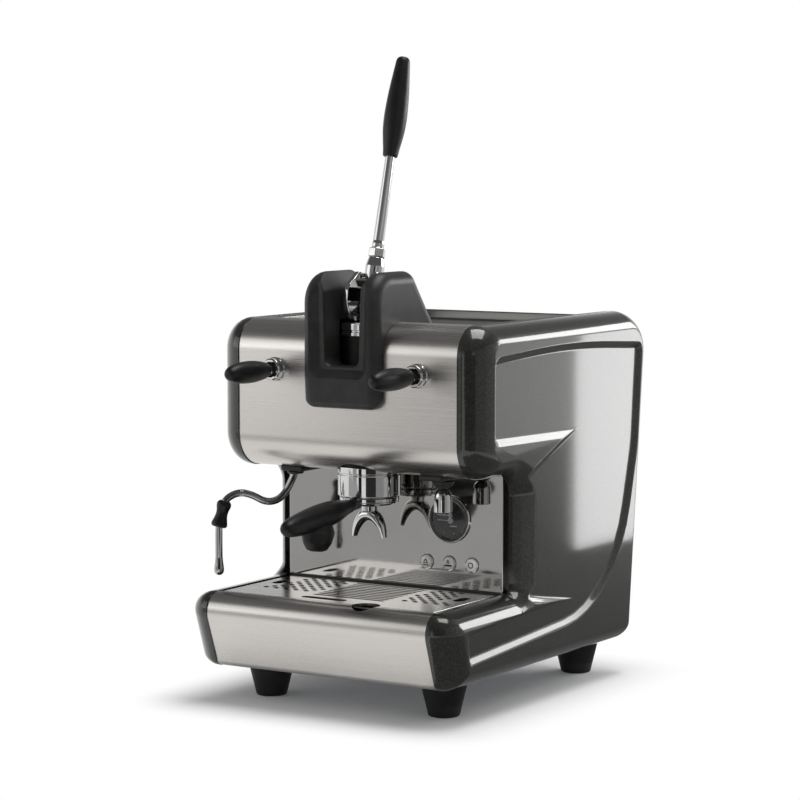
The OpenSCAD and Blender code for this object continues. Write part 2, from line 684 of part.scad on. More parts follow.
// Fork with two cams, which straddles the rod's eye and carries the lever
module lever_fork() color("#d8d8d8") difference() {
    union() {
        for (s = [-1, 1]) translate([s * (cheek_in + cheek_t / 2), group_y, pivot_z]) along_x(cheek_t)
            polygon(concat([for (i = [0:10]) cam_point(pull_angle * i / 10)],
                [[-6, 40], [17, 34], [13, 6], [11, -6], [3, -cam_low + 0.4]]));
        on_lever() translate([-cheek_in - cheek_t, -9, 20]) cube([2 * (cheek_in + cheek_t), 18, 14]);
        on_lever() translate([0, 0, 28]) cylinder(r = socket_r, h = socket_top - 28);
    }
    translate([0, group_y, pivot_z]) bar_x(pin_r + 0.02, 60);
    on_lever() translate([0, 0, socket_top - shank_in]) cylinder(r = shank_r + 0.02, h = 40);
}
// Hardened pin through the fork and the rod's eye, with a head and a clip at its ends
module lever_pin() color("#9a9a9a") translate([0, group_y, pivot_z]) {
    bar_x(pin_r, 2 * (cheek_in + cheek_t) + 2);
    for (s = [-1, 1]) translate([s * (cheek_in + cheek_t + 0.75), 0, 0]) bar_x(pin_r + 1.5, 1.5);
}
// Six-sided lock nut above the fork's socket
module lever_collar() color("#d8d8d8") on_lever() difference() {
    translate([0, 0, socket_top]) cylinder(r = 9.6, h = collar_top - socket_top, $fn = 6);
    cylinder(r = shank_r + 0.02, h = lever_l);
}
// Chromed rod of the lever, screwed into the fork and into the grip
module lever_rod() color("#dcdcdc") on_lever() turned([[0, socket_top - shank_in],
    [shank_r, socket_top - shank_in], [shank_r, collar_top], [shank_r + 0.4, collar_top + 6],
    [rod_top_r, grip_low], [rod_top_r, grip_low + 24], [0, grip_low + 24]]);
// Black grip, fullest below its middle
module lever_grip() color("#1e1e1e") on_lever() difference() {
    turned(concat([[0, grip_low], [grip_r - 5, grip_low], [grip_r - 4, grip_low + 1.5]],
        curve([grip_r - 4, grip_low + 4], [grip_r - 2.5, grip_low + 14], [grip_r, grip_low + 22],
            [grip_r, grip_low + 42]),
        curve([grip_r, grip_low + 44], [grip_r, grip_low + 62], [grip_r - 4, lever_l - 28],
            [grip_r - 5, lever_l - 7]),
        curve([grip_r - 5, lever_l - 6.5], [grip_r - 5.4, lever_l - 2], [grip_r - 8, lever_l],
            [0, lever_l], 5)));
    cylinder(r = rod_top_r + 0.02, h = grip_low + 24);
}

holder_top = skirt_low + 12;
holder_low = skirt_low - 18;
basket_r = bore_r + 0.5;
boss_y = holder_r + 6;
handle_z = skirt_low - 4;
// Filter holder: chromed cup with two lugs, and a boss at the front for its handle
module portafilter_body() color("#d5d5d5") translate([0, group_y, 0]) difference() {
    union() {
        turned([[0, holder_low], [holder_r - 7, holder_low], [holder_r, holder_low + 5],
            [holder_r, skirt_low - 1], [holder_in_skirt, skirt_low - 1],
            [holder_in_skirt, holder_top], [0, holder_top]]);
        intersection() {
            two_wedges(lug_angle, 0, skirt_in - gap, skirt_low + ledge_t + gap, holder_top);
            ring(skirt_in, basket_r, skirt_low, holder_top + cut);
        }
        translate([0, 0, handle_z]) rotate([handle_droop, 0, 0])
            bar_y(6.5, -boss_y, -holder_r + 6);
    }
    translate([0, 0, holder_low + 4]) cylinder(r = basket_r + seat, h = 60);
    translate([0, 0, holder_low - cut]) cylinder(r = 5, h = 10);
}
// Pressed steel basket for the ground coffee, with a perforated bottom
module filter_basket() color("#c0c0c0") translate([0, group_y, 0]) difference() {
    turned([[0, holder_low + 7], [basket_r - 3, holder_low + 7], [basket_r, holder_low + 13],
        [basket_r, holder_top], [holder_in_skirt - 0.3, holder_top],
        [holder_in_skirt - 0.3, holder_top + 2], [basket_r - 0.8, holder_top + 2],
        [basket_r - 0.8, holder_low + 13], [basket_r - 3.5, holder_low + 8], [0, holder_low + 8]]);
    for (i = [0:11], r = [7, 14]) rotate(30 * i) translate([r, 0, holder_low])
        cylinder(d = 2, h = 12, $fn = 16);
}
spout_r = 5;
spout_bore = 3.2;
spout_arc = 120;
spout_bend = spout_half / sin(spout_arc / 2);
spout_top = holder_low - 3 - spout_r;
// Double spout: a stem and an arched tube with two outlets
module portafilter_spout() color("#d5d5d5") translate([0, group_y, 0]) difference() {
    union() {
        translate([0, 0, spout_top]) cylinder(r = 8, h = holder_low - spout_top);
        spout_sweep(spout_r, spout_arc);
    }
    spout_sweep(spout_bore, spout_arc + 2);
    translate([0, 0, spout_top]) cylinder(r = 4, h = 40);
}
module spout_sweep(r, angle) translate([0, 0, spout_top - spout_bend]) forward()
    rotate(90 - angle / 2) rotate_extrude(angle = angle) translate([spout_bend, 0]) circle(r, $fn = 32);
handle_l = handle_reach - boss_y;
// Black handle with the short foot on which the filter holder stands level
module portafilter_handle() color("#1e1e1e") translate([0, group_y, handle_z])
    rotate([handle_droop, 0, 0]) {
        translate([0, -boss_y, 0]) forward() turned(concat([[0, 0], [8.5, 0]],
            curve([9.5, 2], [10, 14], [handle_r, 22], [handle_r, 52]),
            curve([handle_r, 54], [handle_r, 84], [handle_r - 2, handle_l - 12],
                [handle_r - 6, handle_l - 4]),
            curve([handle_r - 6.5, handle_l - 3.5], [handle_r - 9, handle_l - 1],
                [handle_r - 11, handle_l], [0, handle_l], 4)));
        translate([0, -boss_y - 62, -handle_r - 21]) rotate([-handle_droop - 8, 0, 0])
            turned([[0, 0], [12, 0], [14.5, 3], [14.5, 14], [11, 27], [0, 27]]);
    }

pivot_y = head_y - 6;
collar_l = 12;
collar_bore = 8.5;
cross_r = 2;
tap_neck = 4.5;
tap_root = 13;
// Places a tap's pieces, built along -Y from its pivot, on the left or on the right
module at_tap(s) translate([s * tap_x, pivot_y, tap_z]) children();
module tap_collar() difference() {
    turned([[collar_bore, 0], [collar_r + 1, 0], [collar_r + 1, 3], [collar_r, 4],
        [collar_r, collar_l - 2], [collar_r - 1.5, collar_l], [collar_bore, collar_l]]);
    translate([0, 0, collar_l / 2]) bar_x(cross_r + running, 4 * collar_r);
}
// Chrome collars on the head's front, which carry the tap levers' cross pins
module tap_collars() color("#d8d8d8") for (s = [-1, 1])
    translate([s * tap_x, head_y, tap_z]) forward() tap_collar();
// Chromed spindle of a tap lever, with its cross pin
module tap_spindle() {
    bar_y(tap_neck, -tap_root, 8);
    bar_x(cross_r, 2 * collar_r - 1);
}
module steam_tap_spindle() color("#cfcfcf") at_tap(-1) tap_spindle();
module water_tap_spindle() color("#cfcfcf") at_tap(1) tap_spindle();
tap_l = tap_reach - 6 - tap_root;
// Black tap lever, an elongated egg
module tap_handle() translate([0, -tap_root, 0]) forward() turned(concat([[0, 0], [6, 0]],
    curve([7, 1], [8, 10], [tap_r, 16], [tap_r, 40]),
    curve([tap_r, 41], [tap_r, tap_l - 14], [tap_r - 4, tap_l], [0, tap_l])));
module steam_tap_handle() color("#1e1e1e") at_tap(-1) tap_handle();
module water_tap_handle() color("#1e1e1e") at_tap(1) tap_handle();

valve_r = 14;
valve_back = bracket_y - 20;
valve_front = head_y + sheet_t;
outlet_r = 5;
// Brass valve behind the steel head, with its outlet pipe down through the head's underside
module valve(out_y, out_low) difference() {
    union() {
        bar_y(valve_r, valve_front, valve_back);
        translate([0, out_y, out_low - tap_z]) cylinder(r = outlet_r, h = tap_z - out_low);
    }
    bar_y(collar_bore + 0.5, valve_front - cut, valve_front + 12);
}
module steam_valve() color("#b8923f") translate([-tap_x, 0, tap_z]) valve(wand_y, steel_head + 4);
module water_valve() color("#b8923f") translate([tap_x, 0, tap_z]) difference() {
    valve(water_y, steel_head + 2);
}

wand_stem_r = 5;
boss_low = pad_low - 7;
// Black bush under the head in which the wand swivels
module wand_boss() color("#222222") translate([wand_x, wand_y, 0]) {
    ring(15, wand_stem_r + running, boss_low, pad_low);
    ring(wand_stem_r + 1.8, wand_stem_r + running, pad_low, steel_head + 4);
}
// Turns a wand piece, built in the plane X = 0 towards -Y, to the wand's direction
module on_wand() translate([wand_x, wand_y, 0]) rotate(-wand_angle) children();
wand_nut_low = boss_low - 9;
wand_knee = head_h - 24;
knee_ease = 12;
sleeve_l = 26;
sleeve_low = wand_knee - knee_ease - 0.5 - sleeve_l;
// Wand's centre line: out of the bush, round an S bend and straight down
wand_line = [[0, 0, wand_nut_low + 1], [0, -9, head_h - 42], [0, -wand_throw * 0.76, head_h - 18],
    [0, -wand_throw + 2, wand_knee], [0, -wand_throw, wand_low + 12 + gap]];
module wand_tube() color("#d0d0d0") on_wand() {
    translate([0, 0, wand_nut_low]) cylinder(r = 8.5, h = boss_low - gap - wand_nut_low);
    cylinder_z = boss_low - gap - cut;
    translate([0, 0, cylinder_z]) cylinder(r = wand_stem_r, h = steel_head + 3 - cylinder_z);
    swept(eased(wand_line, [16, 7, knee_ease]), wand_r, [1, 0, 0], 12);
}
// Direction of the wand's straight end, from the vertical
wand_tilt = atan2(2, wand_knee - wand_low - 12);
module on_wand_end(z) on_wand() translate([0, -wand_throw + 2 * (z - wand_low - 12)
    / (wand_knee - wand_low - 12), z]) rotate([-wand_tilt, 0, 0]) children();
// Rubber sleeve to hold the hot wand by
module wand_grip() color("#202020") on_wand_end(sleeve_low) difference() {
    turned(concat([[0, 0], [7.5, 0], [8.5, 1.5]], curve([8.5, 4], [6.5, 8], [6, 13], [8, sleeve_l - 6], 6),
        [[9, sleeve_l - 3], [8.5, sleeve_l], [0, sleeve_l]]));
    translate([0, 0, -cut]) cylinder(r = wand_r + 0.25, h = 40);
}
// Steam tip with its hole
module wand_tip() color("#d0d0d0") on_wand() translate([0, -wand_throw, wand_low]) difference() {
    turned([[0, 0], [3, 0], [5, 2.5], [5.2, 9], [wand_r + 0.4, 12], [0, 12]]);
    translate([0, 0, -cut]) cylinder(r = 1.2, h = 5);
}

spout_neck_r = 5;
bell_low = head_h - 40;
// Hot water outlet: a narrow neck and a bell that calms the stream
module hot_water_spout() color("#d0d0d0") translate([water_x, water_y, 0]) difference() {
    turned([[0, steel_head + 2], [spout_neck_r, steel_head + 2], [spout_neck_r, bell_low + 29],
        [6, bell_low + 27], [8.6, bell_low + 20], [8.8, bell_low], [0, bell_low]]);
    translate([0, 0, bell_low - cut]) cylinder(r = 7, h = 18);
    translate([0, 0, bell_low]) cylinder(r = 2.5, h = 80);
}

// Thin bright ring round the indicator
module dial_bezel() color("#d8d8d8") translate([dial_x, splash_y, dial_z]) forward()
    ring(dial_r, dial_r - 4, 0, 4);
// Dark face of the indicator on its can, which reaches back through the backsplash
module dial_face() color("#44464a") translate([dial_x, 0, dial_z]) {
    bar_y(dial_hole_r - seat, splash_y, splash_y + 22);
    bar_y(dial_r - 4.1, splash_y - 1, splash_y + 1);
}
// Clear lens in the bezel
module dial_lens() color("lightblue") translate([dial_x, 0, dial_z])
    bar_y(dial_r - 4.1, splash_y - 3.4, splash_y - 2);

button_front = splash_y - 4;
// Thin chrome ring round each button
module button_rings() color("#d8d8d8") for (x = buttons) translate([x, splash_y, button_z]) forward()
    ring(button_r + 2, button_r + gap, 0, 1.6);
// Domed push button, which slides back through the backsplash
module button(i) translate([buttons[i], splash_back + 1, button_z]) forward() turned([[0, 0],
    [button_r, 0], [button_r, splash_back + 1 - button_front - 1.2],
    [button_r - 1.2, splash_back + 1 - button_front], [0, splash_back + 1 - button_front + 0.6]]);
module button_left() color("#e0e0e0") button(0);
module button_middle() color("#e0e0e0") button(1);
module button_right() color("#e0e0e0") button(2);
// Circuit board with one switch behind each button, on four posts
board_y = splash_back + 9;
module switch_board() color("darkgreen") {
    half = button_gap + 14;
    translate([button_x - half, board_y, button_z - 11]) cube([2 * half, 2, 22]);
    for (sx = [-1, 1], sz = [-1, 1]) translate([button_x + sx * (half - 3), 0, button_z + sz * 8])
        bar_y(2.5, splash_back, board_y);
    for (x = buttons) translate([x - 4, splash_back + 1 + button_travel + gap, button_z - 4])
        cube([8, board_y - splash_back - 1 - button_travel - gap, 8]);
}

boiler_t = 2;
boiler_top = boiler_z + boiler_r + 5;
feed_y = boiler_y - boiler_r - 3;
fitting_x = [-45, 0, 45];
steam_x = -boiler_l / 2 + 14;
element_r = 30;
// Copper boiler lying across the body, with flat-topped bosses and an opening for the element
module boiler() color("#b5683c") difference() {
    union() {
        translate([0, boiler_y, boiler_z]) bar_x(boiler_r, boiler_l);
        for (x = concat(fitting_x, [steam_x])) translate([x, boiler_y, boiler_z])
            cylinder(r = 10, h = boiler_r + 5);
        for (p = [[0, feed_z], [tap_x - 20, boiler_z - 20]]) translate([p.x, 0, p.y])
            bar_y(10, feed_y, boiler_y);
    }
    translate([0, boiler_y, boiler_z]) bar_x(boiler_r - boiler_t, boiler_l - 2 * boiler_t);
    translate([boiler_l / 2, boiler_y, boiler_z]) bar_x(element_r, 20);
}
// Heating element: a bolted flange and two hairpin tubes inside the boiler
module heating_element() color("#8d8d8d") translate([boiler_l / 2, boiler_y, boiler_z]) {
    translate([3, 0, 0]) bar_x(element_r + 10, 6);
    for (a = [0:60:300]) rotate([a, 0, 0]) translate([7.5, element_r + 5, 0]) bar_x(4, 3);
    for (s = [-1, 1]) {
        for (y = [-12, 12]) translate([-70, y, s * 12]) bar_x(4, 140);
        translate([-140, 0, s * 12]) rotate([0, 0, 90]) rotate_extrude(angle = 180)
            translate([12, 0]) circle(4, $fn = 32);
    }
}
// Safety valve, level probe and pressure switch on the boiler's bosses
module boiler_fittings() color("#b8923f") translate([0, boiler_y, boiler_top]) {
    translate([fitting_x[0], 0, 0]) cylinder(r = 9, h = 18);
    translate([fitting_x[1], 0, 0]) cylinder(r = 6, h = 14);
    translate([fitting_x[2], 0, 0]) cylinder(r = 7, h = 8);
    translate([fitting_x[2], 0, 8]) cylinder(r = 20, h = 10);
}
// Copper pipes from the boiler to the group and to the two valves
module boiler_pipes() color("#b5683c") {
    translate([0, 0, feed_z]) bar_y(6, bracket_y, feed_y);
    swept(eased([[tap_x - 20, feed_y, boiler_z - 20], [tap_x - 20, feed_y - 14, boiler_z - 20],
        [tap_x, feed_y - 26, tap_z - 20], [tap_x, bracket_y + 20, tap_z], [tap_x, valve_back, tap_z]],
        [6, 10, 8]), 5, [1, 0, 0.3]);
    swept(eased([[steam_x, boiler_y, boiler_top], [steam_x, boiler_y, boiler_top + 14],
        [-tap_x, feed_y, boiler_top + 14], [-tap_x, bracket_y + 18, tap_z], [-tap_x, valve_back, tap_z]],
        [8, 12, 8]), 5, [1, 0, 0]);
}

// Motor and pump on the floor tray
module pump() color("#5a5f66") translate([0, boiler_y, pan_top]) {
    translate([-40, -20, 0]) cube([60, 40, 8]);
    translate([-10, 0, 38]) bar_x(31, 72);
    translate([36, 0, 38]) bar_x(20, 20);
}
// Control box on the floor tray
module control_box() color("#3c4248") translate([stand_x + 12, boiler_y - 60, pan_top])
    cube([frame_in - stand_x - 20, 120, 60]);

inlet_r = 9;
inlet_z = 78;
inlets = [-90, -50, 90];
// Water inlet, drain and power gland on the rear panel
module rear_fittings() color("#c0a060") for (x = inlets) translate([x, 0, inlet_z]) difference() {
    union() {
        bar_y(inlet_r - seat, rear_y(inlet_z) - 20, rear_y(inlet_z) + 4);
        bar_y(inlet_r + 4, rear_y(inlet_z) - 12, rear_y(inlet_z) - 5);
    }
    bar_y(inlet_r - 4, rear_y(inlet_z) - 12, rear_y(inlet_z) + 5);
}

base_pan();
feet();
frame_left();
frame_right();
side_panel_left();
side_panel_right();
base_front_panel();
head_front_panel();
head_underside();
backsplash();
cup_tray();
rear_panel();
drip_basin();
drip_grid();
lever_cover();
group_bracket();
group_body();
group_cap();
group_gasket();
shower_screen();
piston();
piston_seals();
piston_rod();
main_spring();
lever_fork();
lever_pin();
lever_collar();
lever_rod();
lever_grip();
portafilter_body();
filter_basket();
portafilter_spout();
portafilter_handle();
tap_collars();
steam_tap_spindle();
water_tap_spindle();
steam_tap_handle();
water_tap_handle();
steam_valve();
water_valve();
wand_boss();
wand_tube();
wand_grip();
wand_tip();
hot_water_spout();
dial_bezel();
dial_face();
dial_lens();
button_rings();
button_left();
button_middle();
button_right();
switch_board();
boiler();
heating_element();
boiler_fittings();
boiler_pipes();
pump();
control_box();
rear_fittings();
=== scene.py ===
from math import acos, atan2, cos, degrees, pi, radians, sin, tan

import bmesh
import bpy
from mathutils import Matrix, Vector


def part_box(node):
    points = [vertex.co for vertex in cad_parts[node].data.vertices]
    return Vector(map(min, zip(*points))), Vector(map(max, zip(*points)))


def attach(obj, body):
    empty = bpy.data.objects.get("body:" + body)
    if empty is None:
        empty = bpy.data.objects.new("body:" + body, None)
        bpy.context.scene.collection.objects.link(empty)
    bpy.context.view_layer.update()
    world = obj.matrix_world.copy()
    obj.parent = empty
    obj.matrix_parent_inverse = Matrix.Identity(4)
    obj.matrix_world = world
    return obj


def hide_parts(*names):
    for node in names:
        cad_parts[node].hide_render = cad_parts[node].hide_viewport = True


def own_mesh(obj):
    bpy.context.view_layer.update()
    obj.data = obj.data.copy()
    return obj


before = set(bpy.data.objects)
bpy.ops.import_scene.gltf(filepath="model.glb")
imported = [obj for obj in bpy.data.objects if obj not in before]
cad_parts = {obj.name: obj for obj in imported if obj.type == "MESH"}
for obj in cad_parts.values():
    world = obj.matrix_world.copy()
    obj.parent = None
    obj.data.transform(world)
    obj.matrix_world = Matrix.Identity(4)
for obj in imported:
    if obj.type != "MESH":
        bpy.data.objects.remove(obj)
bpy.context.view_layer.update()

# Studio: a pale floor that keeps the machine's shadow and fades into a white surround, soft lamps
# above, left and right, glowing grey and black cards that only show in reflections and paint their tone
# there, and the camera at the photograph's height and angle.


class Signal:
    """One output of a material's nodes. Arithmetic on it adds Math nodes, and make() adds any other."""

    def __init__(self, tree, socket):
        self.tree = tree
        self.socket = socket

    def make(self, kind, inputs=None, out=0, **settings):
        node = self.tree.nodes.new(kind)
        for name, value in settings.items():
            setattr(node, name, value)
        for name, value in (inputs or {}).items():
            if isinstance(value, Signal):
                self.tree.links.new(value.socket, node.inputs[name])
            else:
                node.inputs[name].default_value = value
        return Signal(self.tree, node.outputs[out])

    def math(self, operation, a, b=0.0):
        return self.make("ShaderNodeMath", {0: a, 1: b}, operation=operation)

    def __add__(self, other):
        return self.math("ADD", self, other)

    def __sub__(self, other):
        return self.math("SUBTRACT", self, other)

    def __rsub__(self, other):
        return self.math("SUBTRACT", other, self)

    def __mul__(self, other):
        return self.math("MULTIPLY", self, other)

    __radd__ = __add__
    __rmul__ = __mul__

    def ramp(self, low, high):
        return self.make("ShaderNodeMapRange", {"Value": self, "From Min": low, "From Max": high},
                         interpolation_type="SMOOTHSTEP")

    def noise(self, scale, detail=3.0, stretch=(1, 1, 1)):
        place = self.make("ShaderNodeMapping", {"Vector": self, "Scale": stretch})
        return self.make("ShaderNodeTexNoise", {"Vector": place, "Scale": scale, "Detail": detail})

    def blend(self, first, second):
        return self.make("ShaderNodeMix", {"Factor": self, 6: (*first, 1), 7: (*second, 1)}, out=2,
                         data_type="RGBA")

    def bump(self, strength, distance):
        return self.make("ShaderNodeBump", {"Strength": strength, "Distance": distance, "Height": self})

    def seen_rays(self):
        """1 for the rays that show a background: those of the camera, of reflections and through glass."""
        path = self.make("ShaderNodeLightPath").socket.node.outputs
        camera, glossy, through = (Signal(self.tree, path[ray + " Ray"])
                                   for ray in ("Is Camera", "Is Glossy", "Is Transmission"))
        return self.math("MAXIMUM", self.math("MAXIMUM", camera, glossy), through)

    def into(self, shader, name):
        self.tree.links.new(self.socket, shader.inputs[name])


def new_finish(name, constants):
    material = bpy.data.materials.new(name)
    material.use_nodes = True
    tree = material.node_tree
    shader = tree.nodes["Principled BSDF"]
    for socket, value in constants.items():
        shader.inputs[socket].default_value = value
    place = Signal(tree, tree.nodes.new("ShaderNodeTexCoord").outputs["Object"])
    return material, shader, place


floor_mesh = bmesh.new()
bmesh.ops.create_grid(floor_mesh, x_segments=8, y_segments=8, size=9.0)
floor_data = bpy.data.meshes.new("floor")
floor_mesh.to_mesh(floor_data)
floor_mesh.free()
floor = bpy.data.objects.new("floor", floor_data)
bpy.context.scene.collection.objects.link(floor)
floor_paint, floor_shader, floor_place = new_finish("floor_paper", {"Roughness": 0.9,
                                                                    "Specular IOR Level": 0.1})
floor_place.noise(6.0).ramp(0.3, 0.7).blend((0.86, 0.86, 0.86), (0.88, 0.88, 0.88)).into(
    floor_shader, "Base Color")
floor_tree = floor_paint.node_tree
beside = floor_place.make("ShaderNodeSeparateXYZ", {0: floor_place}, out="X")
behind = floor_place.make("ShaderNodeSeparateXYZ", {0: floor_place}, out="Y")
shade_half_width, shade_half_depth, shade_middle = 0.14, 0.19, 0.02
beside = beside.math("MAXIMUM", beside.math("ABSOLUTE", beside) - shade_half_width, 0.0)
behind = behind.math("MAXIMUM", behind.math("ABSOLUTE", behind - shade_middle) - shade_half_depth, 0.0)
distance = beside.math("SQRT", beside * beside + behind * behind)
white = floor_place.make("ShaderNodeEmission", {"Color": (1, 1, 1, 1), "Strength": 1.0})
paper = Signal(floor_tree, floor_shader.outputs[0])
glow = floor_place.seen_rays() * (distance.ramp(0.0, 0.1) * 0.96 + 0.04)
floor_mix = floor_place.make("ShaderNodeMixShader", {0: glow, 1: paper, 2: white})
floor_tree.links.new(floor_mix.socket, floor_tree.nodes["Material Output"].inputs["Surface"])
floor_data.materials.append(floor_paint)

world = bpy.data.worlds.new("surround")
bpy.context.scene.world = world
world.use_nodes = True
sky = Signal(world.node_tree, world.node_tree.nodes["Background"].outputs[0])
direction = sky.make("ShaderNodeTexCoord", out="Generated")
rise = sky.make("ShaderNodeSeparateXYZ", {0: direction}, out="Z")
strength = sky.seen_rays() * (0.6 - rise.ramp(0.12, 0.5) * 0.88) + 0.4
world.node_tree.links.new(strength.socket, world.node_tree.nodes["Background"].inputs["Strength"])
world.node_tree.nodes["Background"].inputs["Color"].default_value = (1, 1, 1, 1)


def add_lamp(name, place, target, size, power):
    data = bpy.data.lights.new(name, "AREA")
    data.shape = "RECTANGLE"
    data.size, data.size_y = size
    data.energy = power
    lamp = bpy.data.objects.new(name, data)
    bpy.context.scene.collection.objects.link(lamp)
    lamp.location = place
    lamp.rotation_euler = (Vector(target) - Vector(place)).to_track_quat("-Z", "Y").to_euler()
    lamp.visible_camera = False


add_lamp("top_softbox", (0.35, 0.3, 2.1), (0, 0, 0.2), (1.6, 0.9), 24)
add_lamp("left_softbox", (-1.5, -1.4, 0.95), (0, 0, 0.25), (1.4, 1.0), 4.8)
add_lamp("side_softbox", (0.63, 1.1, 0.19), (0, 1.1, 0.19), (0.31, 0.37), 1.7)
add_lamp("edge_softbox", (0.78, 1.25, 0.82), (0, 0.35, 0.35), (1.0, 0.45), 9.0)


def add_flag(name, place, target, size, shade):
    """Card that glows a set grey or black and only shows in reflections, where it paints that tone as a painted
    reflection.
    """
    card = bmesh.new()
    bmesh.ops.create_grid(card, x_segments=2, y_segments=2, size=0.5)
    data = bpy.data.meshes.new(name)
    card.to_mesh(data)
    card.free()
    flag_glow, flag_shader, flag_place = new_finish(name, {"Base Color": (0, 0, 0, 1), "Roughness": 1.0,
                                                            "Specular IOR Level": 0.0, "Emission Strength": 1.0})
    # The card's grey is emitted and not lit by the lamps: a painted reflection.
    flag_place.noise(3.0).blend(3 * (shade,), 3 * (1.1 * shade,)).into(flag_shader, "Emission Color")
    data.materials.append(flag_glow)
    flag = bpy.data.objects.new(name, data)
    bpy.context.scene.collection.objects.link(flag)
    flag.location = place
    flag.rotation_euler = (Vector(target) - Vector(place)).to_track_quat("Z", "Y").to_euler()
    flag.scale = (*size, 1)
    flag.visible_camera = flag.visible_diffuse = flag.visible_shadow = False


add_flag("camera_flag", (1.5, -3.2, 0.8), (0, 0, 0.3), (1.9, 2.2), 0.02)
add_flag("right_flag", (2.4, 0.3, 0.5), (0, 0, 0.3), (1.6, 1.8), 0.02)
add_flag("near_flag", (0.616, -0.874, 0.28), (0, -0.086, 0.28), (0.68, 0.56), 0.03)
add_flag("narrow_flag", (-0.025, -1.086, 0.28), (0, -0.086, 0.28), (0.2, 0.56), 0.02)
add_flag("grey_flag", (0.954, -0.386, 0.4), (0, -0.086, 0.4), (0.62, 0.8), 0.3)
add_flag("splash_flag", (-0.33, -0.62, 0.08), (-0.33, 0, 0.08), (0.5, 0.19), 0.44)
add_flag("head_flag", (-0.47, -1.2, 0.22), (-0.47, 0, 0.22), (0.36, 0.46), 0.38)
add_flag("column_flag", (0.65, 0.71, 0.088), (0, 0.71, 0.088), (0.5, 0.175), 0.1)
# This dark card lies on the floor and paints the floor's shadow into the side panels' lower reflections.
add_flag("floor_flag", (0.39, 0.38, 0.012), (0.39, 0.38, 1), (0.55, 1.8), 0.17)
add_flag("side_flag", (0.95, 0.2, 0.4), (0, 0.2, 0.4), (0.75, 0.9), 0.42)
add_flag("back_flag", (-1.2, 1.6, 0.8), (0, 0, 0.6), (1.1, 0.6), 0.15)

view_data = bpy.data.cameras.new("photo_view")
view_data.lens = 124.26
view_data.sensor_width = 36.0
view = bpy.data.objects.new("photo_view", view_data)
bpy.context.scene.collection.objects.link(view)
view.location = (1.5871, -2.5699, 0.5939)
view.rotation_euler = (radians(84.81), 0, radians(31.94))
bpy.context.scene.camera = view
bpy.context.scene.view_settings.view_transform = "Standard"

# Floor tray, side frames and cross plate: zinc-plated sheet steel, folded, welded and bolted. They
# carry everything between the two side panels and are hidden behind the panels.


def shaded(colour, factor):
    return tuple(factor * c for c in colour)


def plated_steel(name, colour, roughness):
    material, shader, place = new_finish(name, {"Metallic": 1.0})
    spangle = place.noise(120.0, 4.0)
    spangle.ramp(0.3, 0.7).blend(shaded(colour, 0.75), colour).into(shader, "Base Color")
    (spangle * 0.2 + (roughness - 0.1)).into(shader, "Roughness")
    return material


def dress(material, *nodes):
    """Gives a material to CAD nodes that are shown as they are."""
    for node in nodes:
        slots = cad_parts[node].data.materials
        slots.clear()
        slots.append(material)


zinc = plated_steel("zinc_plate", (0.5, 0.52, 0.55), 0.45)
dress(zinc, "base_pan", "frame_left", "frame_right", "group_bracket")

# Feet: four tapered mouldings of black rubber with a rounded lower edge, screwed up into the floor
# tray.


def rounded_corner(a, b, c, radius, steps):
    """Arc that rounds off the corner b between a and c."""
    u, v = (a - b).normalized(), (c - b).normalized()
    half = acos(max(-1.0, min(1.0, u.dot(v)))) / 2
    centre = b + (u + v).normalized() * radius / sin(half)
    start, end = b + u * radius / tan(half) - centre, b + v * radius / tan(half) - centre
    first = atan2(start.y, start.x)
    sweep = (atan2(end.y, end.x) - first + pi) % (2 * pi) - pi
    return [centre + radius * Vector((cos(first + sweep * i / steps), sin(first + sweep * i / steps)))
            for i in range(steps + 1)]


def eased(points, steps=6):
    """Flat line in which a point with a third value is rounded to that radius."""
    line = []
    for i, point in enumerate(points):
        if len(point) < 3:
            line.append(Vector(point))
        else:
            before, after = points[i - 1], points[(i + 1) % len(points)]
            line += rounded_corner(Vector(before[:2]), Vector(point[:2]), Vector(after[:2]), point[2], steps)
    return line


def turned(points, sides=64):
    """Solid of revolution about Z from (radius, height) points in mm."""
    shape = bmesh.new()
    line = [shape.verts.new((max(p[0], 0.0), 0, p[1])) for p in eased(points)]
    edges = [shape.edges.new(pair) for pair in zip(line, line[1:])]
    bmesh.ops.spin(shape, geom=line + edges, cent=(0, 0, 0), axis=(0, 0, 1), angle=2 * pi,
                   steps=sides, use_merge=True)
    bmesh.ops.remove_doubles(shape, verts=shape.verts, dist=0.002)
    bmesh.ops.recalc_face_normals(shape, faces=shape.faces)
    return shape


def moved(shape, place, turn=0.0, axis="X"):
    """Turns a shape about an axis through the origin, in degrees, and then moves it."""
    shape.transform(Matrix.Translation(place) @ Matrix.Rotation(radians(turn), 4, axis))
    return shape


def joined(*shapes):
    whole = shapes[0]
    for shape in shapes[1:]:
        mesh = bpy.data.meshes.new("joined")
        shape.to_mesh(mesh)
        shape.free()
        whole.from_mesh(mesh)
        bpy.data.meshes.remove(mesh)
    return whole


def add_piece(name, shape, material, body, slot, *nodes, crease=35.0):
    """Makes a piece from a shape in mm, at the origin, riding on a body in place of CAD nodes."""
    shape.transform(Matrix.Scale(0.001, 4))
    mesh = bpy.data.meshes.new(name)
    shape.to_mesh(mesh)
    shape.free()
    mesh.shade_smooth()
    mesh.set_sharp_from_angle(angle=radians(crease))
    mesh.materials.append(material)
    piece = bpy.data.objects.new(name, mesh)
    bpy.context.scene.collection.objects.link(piece)
    piece.modifiers.new("even_shading", "WEIGHTED_NORMAL").keep_sharp = True
    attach(piece, body)
    if nodes:
        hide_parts(*nodes)
    return piece


def rubber(name, colour):
    material, shader, place = new_finish(name, {"Specular IOR Level": 0.35})
    bloom = place.noise(90.0, 5.0)
    bloom.ramp(0.35, 0.75).blend(colour, shaded(colour, 1.7)).into(shader, "Base Color")
    (bloom * 0.25 + 0.5).into(shader, "Roughness")
    place.noise(900.0).bump(0.15, 0.0003).into(shader, "Normal")
    return material


